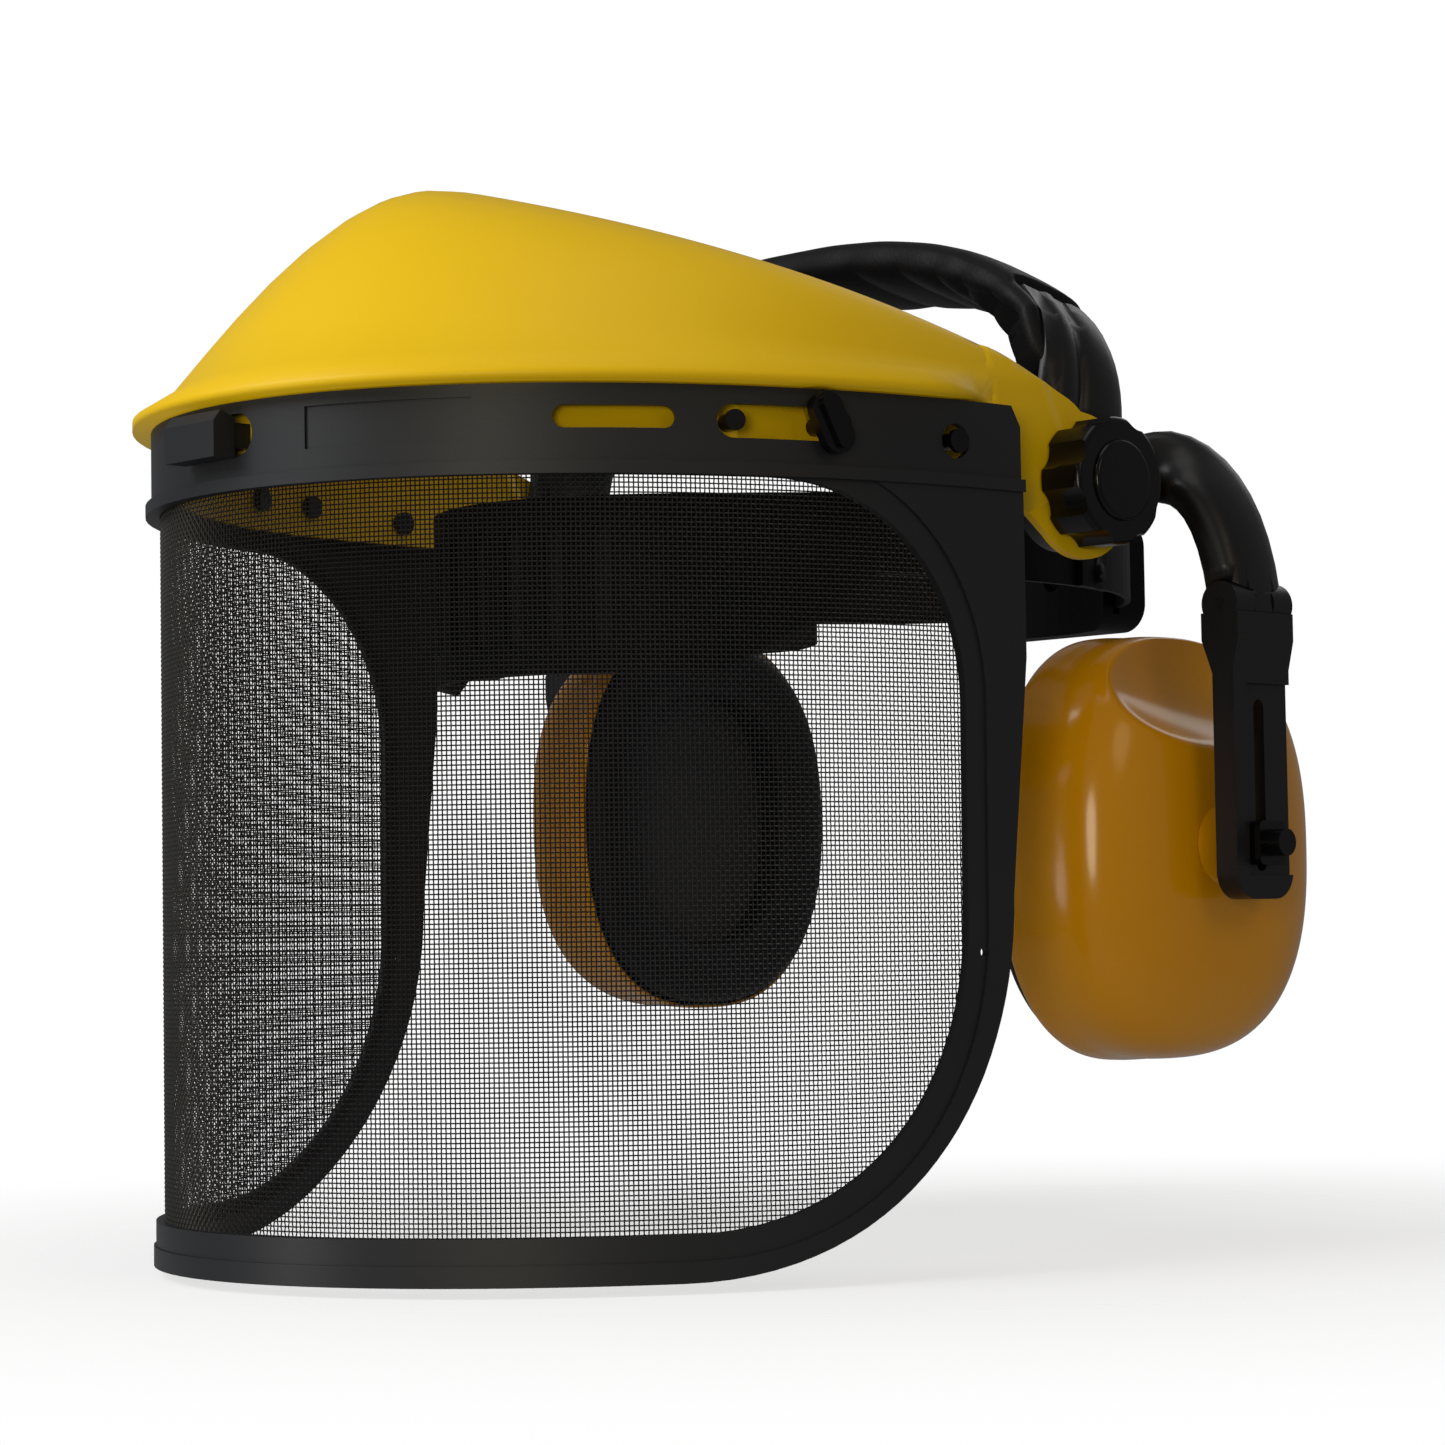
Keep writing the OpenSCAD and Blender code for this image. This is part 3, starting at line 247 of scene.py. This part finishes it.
# What all finishes share: slow patches tint the colour and the roughness, the fine grain lifts the normal
grainValues = {"patch": 22, "patchDetail": 4, "grainDetail": 2, "patchShare": 0.7, "grainShare": 0.3,
               "middle": 0.5, "grainRough": 0.04, "bump": 0.6, "coatRough": 0.12}


def makeFinish(name, values, shared):
    material = bpy.data.materials.new(name)
    material.use_nodes = True
    tree = material.node_tree
    surface = tree.nodes["Principled BSDF"]
    place = Sock(tree, tree.nodes.new("ShaderNodeTexCoord").outputs["Object"])
    patch = place.noise(shared["patch"], shared["patchDetail"])
    if values.get("hide"):
        grain = place.cells(values["grain"])
    else:
        grain = place.noise(values["grain"], shared["grainDetail"])
    mixed = patch * shared["patchShare"] + grain * shared["grainShare"]
    colour = mixed.tint(values["shade"], values["colour"])
    rough = values["rough"] + (patch - shared["middle"]) * values["wander"] * 2
    rough = rough + (grain - shared["middle"]) * shared["grainRough"]
    tree.links.new(colour.socket, surface.inputs["Base Color"])
    tree.links.new(rough.socket, surface.inputs["Roughness"])
    surface.inputs["Metallic"].default_value = values.get("metal", 0)
    surface.inputs["Specular IOR Level"].default_value = values["gloss"]
    surface.inputs["Coat Weight"].default_value = values.get("coat", 0)
    surface.inputs["Coat Roughness"].default_value = shared["coatRough"]
    if values["depth"] > 0:
        tree.links.new(grain.bump(shared["bump"], values["depth"]).socket, surface.inputs["Normal"])
    return material


materials = {name: makeFinish(name, values, grainValues) for name, values in finishes.items()}
for part in frame["record"]["subparts"]:
    node = frame["nodes"][part["node"]]
    node.data.materials.clear()
    node.data.materials.append(materials[part["material_slot"]])
print("finishes made")


def ease(v):
    # From 0 to 1 along 3 v^2 - 2 v^3
    v = np.clip(v, 0, 1)
    return v * v * (3 - 2 * v)


def superPoint(a, b, n, k):
    # Superellipse: x = a sgn(cos k) |cos k|^(2/n), y = b sgn(sin k) |sin k|^(2/n)
    c, s = np.cos(k), np.sin(k)
    return a * np.sign(c) * np.abs(c) ** (2 / n), b * np.sign(s) * np.abs(s) ** (2 / n)


def fullTurn(count):
    return np.linspace(0, 2 * np.pi, count, endpoint=False)


def meshFrom(name, points, faces, slot, body, smooth=True):
    mesh = bpy.data.meshes.new(name)
    points = np.asarray(points, float).reshape(-1, 3)
    faces = np.asarray(faces, np.int32)
    mesh.vertices.add(len(points))
    mesh.vertices.foreach_set("co", points.ravel())
    mesh.loops.add(faces.size)
    mesh.loops.foreach_set("vertex_index", faces.ravel())
    mesh.polygons.add(len(faces))
    mesh.polygons.foreach_set("loop_start", np.arange(0, faces.size, faces.shape[1]))
    mesh.polygons.foreach_set("use_smooth", np.full(len(faces), smooth))
    mesh.update(calc_edges=True)
    mesh.validate()
    mesh.materials.append(materials[slot])
    made = bpy.data.objects.new(name, mesh)
    bpy.context.scene.collection.objects.link(made)
    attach(made, body)
    return made


def gridFaces(n, m, wrap):
    # Quads between n rings of m points, from the last ring back to the first too where they wrap
    i = np.arange(n if wrap else n - 1)[:, None]
    j = np.arange(m)[None, :]
    here, there = i * m, (i + 1) % n * m
    after = (j + 1) % m
    return np.stack([here + j, here + after, there + after, there + j], -1).reshape(-1, 4)


def outwards(points, faces):
    # Volume sum of v0 . (v1 x v2) is positive when the faces point out
    v = points[faces[:, :3]]
    total = np.einsum("ij,ij->", v[:, 0], np.cross(v[:, 1], v[:, 2]))
    return faces if total > 0 else faces[:, ::-1]


def closedSweep(name, points, slot, body, node, wrap=False):
    n, m = points.shape[:2]
    faces = gridFaces(n, m, wrap)
    flat = points.reshape(-1, 3)
    if not wrap:
        # A fan round the middle of each end closes the sweep
        flat = np.concatenate([flat, [points[0].mean(0), points[-1].mean(0)]])
        j = np.arange(m)
        after = (j + 1) % m
        end = (n - 1) * m
        first = np.stack([np.full(m, n * m), after, j], -1)
        last = np.stack([np.full(m, n * m + 1), end + j, end + after], -1)
        faces = np.concatenate([faces[:, [0, 1, 2]], faces[:, [0, 2, 3]], first, last])
    made = meshFrom(name, flat, outwards(flat, faces), slot, body)
    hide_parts(node)


# Skins: a faceted node's surface, welded and shaded smooth except over its real edges
skinValues = {"sharpDegrees": 32, "weld": 0.00002,
              "nodes": ("head_band", "nape_strap_left", "nape_strap_right", "socket_left", "socket_right",
                        "elbow_left", "elbow_right", "cup_plate_left", "cup_plate_right")}


def makeSkin(values, name, shape=None, bend=None):
    node = frame["nodes"][name]
    work = bmesh.new()
    work.from_mesh(node.data)
    bmesh.ops.remove_doubles(work, verts=work.verts, dist=values["weld"])
    if shape:
        shape(work)
    words = name.split("_")
    title = words[0] + "".join(w.capitalize() for w in words[1:]) + "Skin"
    mesh = bpy.data.meshes.new(title)
    work.to_mesh(mesh)
    work.free()
    mesh.polygons.foreach_set("use_smooth", np.ones(len(mesh.polygons), bool))
    if bend:
        mesh.normals_split_custom_set(bend(mesh))
    else:
        mesh.set_sharp_from_angle(angle=math.radians(values["sharpDegrees"]))
    subparts = frame["record"]["subparts"]
    slot = next(part["material_slot"] for part in subparts if part["node"] == name)
    mesh.materials.clear()
    mesh.materials.append(materials[slot])
    made = bpy.data.objects.new(title, mesh)
    bpy.context.scene.collection.objects.link(made)
    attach(made, body_of(node)[0])
    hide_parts(name)


# Plan of the visor: an ellipse from ear to ear, in metres from the pivots
planValues = {"halfWidth": 0.1145, "depth": 0.156, "rearY": -0.0325, "rearOver": 0.001, "radial": 0.86}


def planNormals(mesh):
    # Faces along the plan take the ellipse's own normal (x / a^2, (y - y0) / b^2), the rest stay flat
    values = planValues
    corners = np.zeros(len(mesh.loops), np.int32)
    mesh.loops.foreach_get("vertex_index", corners)
    points = np.zeros(len(mesh.vertices) * 3)
    mesh.vertices.foreach_get("co", points)
    x, y, _ = points.reshape(-1, 3)[corners].T
    flat = np.concatenate([np.repeat([p.normal], p.loop_total, 0) for p in mesh.polygons])
    outX, outY = x / values["halfWidth"] ** 2, (y - values["rearY"]) / values["depth"] ** 2
    out = np.stack([outX, outY, np.zeros(len(x))], -1)
    out /= np.linalg.norm(out, axis=1)[:, None] + 1e-9
    side = np.einsum("ij,ij->i", out, flat)
    curved = (np.abs(side) > values["radial"]) & (y < values["rearY"] + values["rearOver"])
    return np.where(curved[:, None], out * np.sign(side)[:, None], flat)


# The guard's ears: their fronts follow the dome's last section, so that its free edge runs on to the pivots
earValues = {"outX": 0.1055, "plateX": 0.1029, "edgeX": 0.1001, "edgeZ": 0.0333, "footZ": 0.0245,
             "flare": 0.25, "fromY": -0.0324, "toY": -0.005, "tip": 0.006, "bendZ": 0.012,
             "lift": 0.0038, "liftFrom": 0.021, "liftOver": 0.0085,
             "nearX": 0.1, "rearY": 0.012, "fineZ": 0.008, "step": 0.003, "rounds": 5,
             "close": 0.0004, "pivotRadius": 0.0184, "pivotSlope": 0.8}


def splitEars(work, values):
    # Long edges of the ears' plates are halved until the bend can follow the dome
    def inEar(v):
        x, y, z = v.co
        frontY = values["fromY"] - values["tip"]
        return abs(x) > values["nearX"] and frontY < y < values["rearY"] and z > values["fineZ"]

    def isLong(e):
        inPlate = all(inEar(v) and abs(v.co.x) > values["plateX"] for v in e.verts)
        return inPlate and e.calc_length() > values["step"]

    bmesh.ops.triangulate(work, faces=[f for f in work.faces if any(inEar(v) for v in f.verts)])
    for _ in range(values["rounds"]):
        longEdges = [e for e in work.edges if isLong(e)]
        bmesh.ops.subdivide_edges(work, edges=longEdges, cuts=1, use_grid_fill=True)
        bmesh.ops.triangulate(work, faces=[f for f in work.faces if len(f.verts) > 3])


def shapeEars(work):
    values = earValues
    splitEars(work, values)
    x, y, z = np.array([v.co for v in work.verts]).T
    fromY, toY = values["fromY"], values["toY"]
    plate = (np.abs(x) >= values["plateX"]) & (y >= fromY - values["tip"]) & (z >= values["bendZ"])
    front, tip = plate & (y <= toY), plate & (y < fromY)
    # Beside the pivot the edge keeps clear of the elbow when the visor is up
    reach = (values["pivotRadius"] + values["pivotSlope"] * np.maximum(0, -y)) / np.hypot(y, z)
    shrink = np.where(plate & ~front, np.minimum(1, reach), 1)
    along = ease((toY - y) / (toY - fromY))
    lift = values["lift"] * along * ease((z - values["liftFrom"]) / values["liftOver"])
    z = z + np.where(front & ~tip, lift, 0)
    # Dome's section: z = foot + h (2 s - s^2), x drawn in by s + flare s (1 - s)^2
    h = values["edgeZ"] - values["footZ"]
    s = 1 - np.sqrt(1 - np.clip((z - values["footZ"]) / h, 0, 1))
    inward = (values["outX"] - values["edgeX"]) * (s + values["flare"] * s * (1 - s) ** 2) * along
    # The plate's tip within the dome lies flush with it
    inward = np.where(tip, np.maximum(0, np.abs(x) - values["outX"] + inward), inward)
    x = x - np.sign(x) * np.where(front, inward, 0)
    for v, place in zip(work.verts, np.stack([x, y * shrink, z * shrink], -1)):
        v.co = place
    tipVerts = [v for v, inTip in zip(work.verts, tip) if inTip]
    bmesh.ops.remove_doubles(work, verts=tipVerts, dist=values["close"])


for name in skinValues["nodes"]:
    makeSkin(skinValues, name)
makeSkin(skinValues, "brow_guard", shape=shapeEars)
makeSkin(skinValues, "visor_frame", bend=planNormals)
print("skins made")

# Woven mesh: wires every pitch along the plan ellipse and up the visor, passing over and under one another
meshValues = {"inset": 0.00245, "pitch": 0.00112, "wire": 0.00040, "weave": 0.00016, "pieces": 3,
              "lowZ": -0.1835, "highZ": -0.001, "lap": 0.0045, "samples": 4001,
              # The opening's corner circles in the side view: y and z of the middle, radius
              "upper": (-0.1035, -0.056, 0.051), "lower": (-0.123, -0.109, 0.070)}


def openingRear(values, z):
    # Rear edge of the opening in the side view, grown by the lap: corner circle, straight edge, corner circle
    upperY, upperZ, upperRadius = values["upper"]
    lowerY, lowerZ, lowerRadius = values["lower"]
    lap = values["lap"]
    above = upperY + np.sqrt(np.maximum(0, (upperRadius + lap) ** 2 - (z - upperZ) ** 2))
    below = lowerY + np.sqrt(np.maximum(0, (lowerRadius + lap) ** 2 - (z - lowerZ) ** 2))
    return np.where(z > upperZ, above, np.where(z < lowerZ, below, upperY + upperRadius + lap))


def makeWires(values, plan):
    a, b = plan["halfWidth"] - values["inset"], plan["depth"] - values["inset"]
    # Even steps along the ellipse (a sin t, rear - b cos t), found from its arc length
    fine = np.linspace(-np.pi / 2, np.pi / 2, values["samples"])
    step = np.hypot(a * np.cos(fine), b * np.sin(fine))
    arc = np.concatenate([[0], np.cumsum((step[1:] + step[:-1]) / 2 * np.diff(fine))])
    n = int(arc[-1] / values["pitch"])
    t = np.interp(np.linspace(0, arc[-1], n), arc, fine)
    m = int((values["highZ"] - values["lowZ"]) / values["pitch"])
    z = np.linspace(values["lowZ"], values["highZ"], m)
    y = plan["rearY"] - b * np.cos(t)
    inside = y[:, None] < openingRear(values, z)[None, :]
    out = np.stack([b * np.sin(t), -a * np.cos(t)], -1)
    out /= np.linalg.norm(out, axis=1)[:, None]
    base = np.stack([a * np.sin(t), y], -1)
    along = np.stack([-out[:, 1], out[:, 0]], -1)
    # Wave of the weave: w = +1 or -1 in turn at the crossings
    sign = 1 - 2 * ((np.arange(n)[:, None] + np.arange(m)[None, :]) % 2)
    r = values["wire"] / 2
    index = np.arange(n * m * 3).reshape(n, m, 3)
    for name, upright in (("visorWiresUpright", True), ("visorWiresLevel", False)):
        lift = values["weave"] * sign * (1 if upright else -1)
        centre = np.zeros((n, m, 3))
        centre[..., :2] = base[:, None, :] + out[:, None, :] * lift[..., None]
        centre[..., 2] = z[None, :]
        # Three-sided section
        ring = np.repeat(centre[:, :, None, :], 3, 2)
        for k, corner in enumerate(np.radians([90, 210, 330])):
            ring[:, :, k, :2] += out[:, None, :] * (r * np.sin(corner))
            if upright:
                ring[:, :, k, :2] += along[:, None, :] * (r * np.cos(corner))
            else:
                ring[:, :, k, 2] += r * np.cos(corner)
        if upright:
            keep = inside[:, :-1] & inside[:, 1:]
            first, second = index[:, :-1][keep], index[:, 1:][keep]
        else:
            keep = inside[:-1] & inside[1:]
            first, second = index[:-1][keep], index[1:][keep]
        faces = np.stack([first, np.roll(first, -1, 1), np.roll(second, -1, 1), second], -1).reshape(-1, 4)
        points = ring.reshape(-1, 3)
        for letter, chosen in zip("ABC", np.array_split(faces, values["pieces"])):
            used, own = np.unique(chosen, return_inverse=True)
            own = own.reshape(-1, 4)
            wires = meshFrom(name + letter, points[used], own, "mesh_wire", "visor", smooth=False)
            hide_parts("visor_mesh")
    return n, m


print("wires", makeWires(meshValues, planValues))

# Headband pad: superellipse section swept along the leaning superellipse arch, gathered underneath
padValues = {"lean": 12.6, "halfWidth": 0.106, "rise": 0.060, "springZ": 0.010, "power": 2.3,
             "width": 0.033, "thick": 0.012, "sectionPower": 3, "drop": 0.0015,
             "endDegrees": 13, "endPower": 14, "endLeast": 0.02,
             "sideX": 0.0974, "sideZ": 0.030, "sideSlope": 0.345,
             "tuckDegrees": 42, "tuckOver": 2.8, "underDegrees": 58, "underOver": 28, "tuck": 0.0054,
             "thinning": 0.42, "rimFrom": 0.0122, "rimOver": 0.0009, "rimLift": 0.0008,
             "gathers": 17, "gatherHeight": 0.0011, "gatherPower": 0.7, "gatherSlant": 0.012,
             "gatherEdge": 0.6, "gatherPress": 0.6, "gatherWidth": 0.008,
             "drift": ((0.006, 3.3, 1), (0.004, 7.1, 0)),  # size, count and phase of waves in their spacing
             "rows": 420, "ring": 40, "fill": 0.7}


def padPath(values, k):
    # Arch in its own plane, drawn in beside the sockets so that the pad runs down their towers
    x, z = superPoint(values["halfWidth"], values["rise"], values["power"], k)
    z = z + values["springZ"]
    side = values["sideX"] - values["sideSlope"] * np.maximum(0, z - values["sideZ"])
    return np.stack([np.clip(x, -side, side), z], -1)


def makePad(values):
    f = np.linspace(0, 1, values["rows"])
    end = math.radians(values["endDegrees"])
    k = end + (math.pi - 2 * end) * f
    p = padPath(values, k)
    d = np.gradient(p, axis=0)
    d /= np.linalg.norm(d, axis=1)[:, None]
    normal = np.stack([d[:, 1], -d[:, 0]], -1)
    close = np.sqrt(np.maximum(values["endLeast"], 1 - np.abs(2 * f - 1) ** values["endPower"]))[:, None]
    a = fullTurn(values["ring"])
    qx, qy = superPoint(values["width"] / 2, values["thick"] / 2, values["sectionPower"], a)
    # Under the sockets the pad is pressed thin and lies inside them
    low = np.minimum(np.degrees(k), 180 - np.degrees(k))
    sharp = ease((values["tuckDegrees"] - low) / values["tuckOver"])[:, None]
    soft = ease((values["underDegrees"] - low) / values["underOver"])[:, None]
    down = np.clip(0.5 - 2 * qy / values["thick"], 0, 1)
    tuck = sharp * (1 - down) + soft * down
    thin = 1 - values["thinning"] * tuck
    # Gathers: h (1/2 - |sin(pi n f)|^power) over the underside, slanted across, with a drift of their spacing
    drift = f
    for size, waves, phase in values["drift"]:
        drift = drift + size * np.sin(2 * np.pi * waves * f + phase)
    slant = drift[:, None] + values["gatherSlant"] * np.cos(a)
    crease = np.abs(np.sin(np.pi * values["gathers"] * slant)) ** values["gatherPower"]
    under = np.where(qy < 0, np.abs(np.sin(a)) ** values["gatherEdge"], 0)
    gather = values["gatherHeight"] * (0.5 - crease) * under * (1 - values["gatherPress"] * tuck)
    o = (qy * thin + gather) * close
    # Its front rim stays outside and covers the towers' front edges
    rim = np.clip((-qx - values["rimFrom"]) / values["rimOver"], 0, 1)
    o = o - values["drop"] - tuck * (values["tuck"] * (1 - rim) - values["rimLift"] * rim)
    wave = values["gatherWidth"] * np.sin(2 * np.pi * values["gathers"] * drift)
    y = qx * close * (1 - wave[:, None])
    x = p[:, :1] + normal[:, :1] * o
    z = p[:, 1:] + normal[:, 1:] * o
    lean = math.radians(values["lean"])
    leanY = y * math.cos(lean) + z * math.sin(lean)
    leanZ = z * math.cos(lean) - y * math.sin(lean)
    points = np.stack([x, leanY, leanZ], -1)
    closedSweep("headbandPad", points, "pad_leather", "headband", "headband_pad")


makePad(padValues)
print("pad made")

# Each side's name, and the sign of its x
sides = (("Left", 1), ("Right", -1))

# Ear cups: domed shells with a scoop in the top, a round hole for the boss and an apron below the rim
cupValues = {"power": 2.5, "wall": 0.0024, "crown": 2.75, "shoulder": 0.28,
             "scoopRadius": 0.045, "scoopOut": 0.026, "scoopUp": 0.049, "scoopWide": 0.62, "scoopTall": 1.5,
             "scoopSoft": 0.0009, "hole": 0.00905, "holeAhead": 0.004, "sharpDegrees": 40,
             "rows": 80, "innerRows": 24, "rowPower": 2.4, "ring": 240,
             # How far the apron stands proud of the rim, and how far below it, ring by ring
             "apron": ((0.0002, 0.002), (0.0004, 0.005), (0.0004, 0.0076), (0.0001, 0.0082),
                       (-0.0004, 0.008), (-0.0004, 0.0003))}


def cupHeight(values, depth, a, b, y, z, d):
    # Dome: x = depth (1 - s^crown)^shoulder, with s = (|y / a|^n + |z / b|^n)^(1/n)
    n = values["power"]
    s = (np.abs(y / (a - d)) ** n + np.abs(z / (b - d)) ** n) ** (1 / n)
    x = (depth - d) * np.maximum(0, 1 - s ** values["crown"]) ** values["shoulder"]
    # Scoop: ellipsoid (x - depth - out)^2 + (wide y)^2 + (tall (z - up))^2 = radius^2
    across, up = values["scoopWide"] * y, values["scoopTall"] * (z - values["scoopUp"])
    deep = np.sqrt(np.maximum(0, (values["scoopRadius"] + d) ** 2 - across ** 2 - up ** 2))
    hollow = depth + values["scoopOut"] - deep
    # Soft minimum of dome and scoop: min(x, h) - soft log(1 + exp(-|x - h| / soft))
    soft = values["scoopSoft"]
    blend = soft * np.log(1 + np.exp(-np.abs(x - hollow) / soft)) * (x > 0)
    return np.maximum(0, np.minimum(x, hollow) - blend)


def cupRings(values, depth, a, b, rows, d):
    # Rings from the boss's hole out to the rim, closer together towards the rim, d within the outer face
    k = fullTurn(values["ring"])
    s = (1 - (1 - np.linspace(0, 1, rows)) ** values["rowPower"])[:, None]
    rimY, rimZ = superPoint(a - d, b - d, values["power"], k)
    holeY, holeZ = values["hole"] * np.cos(k) - values["holeAhead"], values["hole"] * np.sin(k)
    y = holeY + s * (rimY - holeY)
    z = holeZ + s * (rimZ - holeZ)
    x = cupHeight(values, depth, a, b, y, z, d)
    x[-1] = 0
    return np.stack([x, y, z], -1)


def makeCup(values, side, m):
    node = "cup_shell_" + side.lower()
    low, high = np.array(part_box(node))
    depth, a, b = (high - low) / (1, 2, 2)
    middle = (low + high) / 2
    rim = low[0] if m > 0 else -high[0]
    outer = cupRings(values, depth, a, b, values["rows"], 0)
    inner = cupRings(values, depth, a, b, values["innerRows"], values["wall"])
    # Below the rim the shell's apron covers the plate and the cushion's outer half
    proud, drop = np.array(values["apron"]).T[:, :, None]
    y, z = superPoint(a + proud, b + proud, values["power"], fullTurn(values["ring"]))
    apron = np.stack([np.broadcast_to(-drop, y.shape), y, z], -1)
    points = np.concatenate([outer, apron, inner[::-1]])
    flat = (points * (m, 1, 1) + (m * rim, middle[1], middle[2])).reshape(-1, 3)
    faces = gridFaces(len(points), values["ring"], True)
    made = meshFrom("cupShell" + side, flat, outwards(flat, faces), "cup_yellow", "cup_" + side.lower())
    made.data.set_sharp_from_angle(angle=math.radians(values["sharpDegrees"]))
    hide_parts(node)


for side, m in sides:
    makeCup(cupValues, side, m)
print("cups made")

# Middle of each cup's cushion and foam: y, and z on either side
cupPlaces = {"y": 0.0405, "Left": -0.090, "Right": -0.077}

# Ear cushions: superellipse section swept round the cup's superellipse, with faint creases at the inner edge
cushionValues = {"lowX": 0.0735, "thick": 0.0122, "halfWidth": 0.046, "halfHeight": 0.0545, "earWidth": 0.027,
                 "earHeight": 0.034, "power": 2.5, "sectionPower": 2.4, "clear": 0.0005,
                 "creases": 26, "creaseDepth": 0.00025, "creaseDrift": (1.7, 3),
                 "plateShare": 0.94, "seam": 0.05, "seamAt": 0.34, "seamOver": 0.06,
                 "rows": 200, "ring": 40, "fill": 0.75}


def makeCushion(values, places, side, m):
    k, a = fullTurn(values["rows"]), fullTurn(values["ring"])
    my = (values["halfWidth"] + values["earWidth"]) / 2
    mz = (values["halfHeight"] + values["earHeight"]) / 2
    half = (values["halfWidth"] - values["earWidth"]) / 2 - values["clear"]
    cy, cz = superPoint(my, mz, values["power"], k)
    normal = np.stack([cy / my, cz / mz], -1)
    normal /= np.linalg.norm(normal, axis=1)[:, None]
    qr, qx = superPoint(half, values["thick"] / 2, values["sectionPower"], a)
    size, waves = values["creaseDrift"]
    crease = values["creaseDepth"] * np.sin(values["creases"] * k + size * np.sin(waves * k))
    # Seam: the side that meets the plate is drawn in a little, and most along the seam itself
    seam = np.exp(-((qx / values["thick"] - values["seamAt"]) / values["seamOver"]) ** 2)
    tuck = np.where(qx > 0, values["plateShare"], 1.0) * (1 - values["seam"] * seam)
    r = qr * tuck + crease[:, None] * np.clip(-np.cos(a), 0, 1)
    y = places["y"] + cy[:, None] + normal[:, :1] * r
    z = places[side] + cz[:, None] + normal[:, 1:] * r
    x = m * (values["lowX"] + values["thick"] / 2 + np.broadcast_to(qx, r.shape))
    body, node = "cup_" + side.lower(), "cushion_" + side.lower()
    points = np.stack([x, y, z], -1)
    closedSweep("earCushion" + side, points, "pad_leather", body, node, wrap=True)


for side, m in sides:
    makeCushion(cushionValues, cupPlaces, side, m)
print("cushions made")

# Foam in the cups: superellipse slab with a shallow egg-crate face, x = lift cos(py) cos(pz)
foamValues = {"lowX": 0.0888, "highX": 0.0989, "halfWidth": 0.0405, "halfHeight": 0.049, "power": 2.5,
              "lift": 0.0006, "pitch": 0.008, "dip": 0.0024, "dipFrom": 0.026, "dipOver": 0.012,
              "middle": 0.02, "edge": 0.97, "crateTo": 0.96, "rows": 24, "backRows": 6, "ring": 96,
              "fill": 0.6}


def makeFoam(values, places, side, m):
    middle, edge = values["middle"], values["edge"]
    front, back = np.linspace(middle, edge, values["rows"]), np.linspace(edge, middle, values["backRows"])
    s = np.concatenate([front, [1, 1], back])[:, None]
    low = np.arange(len(s))[:, None] <= values["rows"]
    y, z = superPoint(values["halfWidth"], values["halfHeight"], values["power"], fullTurn(values["ring"]))
    y, z = s * y, s * z
    p = 2 * np.pi / values["pitch"]
    crate = values["lift"] * np.cos(p * y) * np.cos(p * z) * (s < values["crateTo"])
    # Its back gives way under the shell's scoop
    dip = values["dip"] * ease((z - values["dipFrom"]) / values["dipOver"])
    x = np.where(low, values["lowX"] + crate, values["highX"] - dip)
    points = np.stack([m * x, places["y"] + y, places[side] + z], -1)
    body, node = "cup_" + side.lower(), "cup_foam_" + side.lower()
    closedSweep("cupFoam" + side, points, "foam_grey", body, node)


for side, m in sides:
    makeFoam(foamValues, cupPlaces, side, m)
print("foam made")

# Sweat band: rounded strip along the inside of the forehead part, quilted in upright channels
sweatValues = {"halfWidth": 0.070, "halfLength": 0.107, "thick": 0.004, "halfHeight": 0.018, "midZ": -0.024,
               "gap": 0.00015, "reach": 62, "sectionPower": 3,
               "endPower": 8, "endLeast": 0.02, "endHeight": 0.8,
               "channels": 14, "channelDepth": 0.0005, "channelPower": 8, "channelTo": 0.95,
               "rows": 260, "ring": 30, "fill": 0.6}


def makeSweatBand(values):
    f = np.linspace(-1, 1, values["rows"])
    t = math.radians(values["reach"]) * f[:, None]
    puff = np.sqrt(np.maximum(values["endLeast"], 1 - np.abs(f) ** values["endPower"]))[:, None]
    a = fullTurn(values["ring"])
    qo, qz = superPoint(values["thick"] / 2, values["halfHeight"], values["sectionPower"], a)
    # Channels: depth d |cos(n pi f / 2)|^power pressed into the face towards the head
    channel = np.abs(np.cos(values["channels"] * np.pi * f / 2)) ** values["channelPower"]
    face = (qo > 0) & (np.abs(qz) < values["halfHeight"] * values["channelTo"])
    o = (qo - face * values["channelDepth"] * channel[:, None]) * puff
    inset = -values["thick"] / 2 - values["gap"] - o
    x = (values["halfWidth"] + inset) * np.sin(t)
    y = -(values["halfLength"] + inset) * np.cos(t)
    z = values["midZ"] + qz * (values["endHeight"] + (1 - values["endHeight"]) * puff)
    points = np.stack([x, y, z], -1)
    closedSweep("sweatBand", points, "sweat_cloth", "harness", "sweat_band")


makeSweatBand(sweatValues)
print("sweat band made")
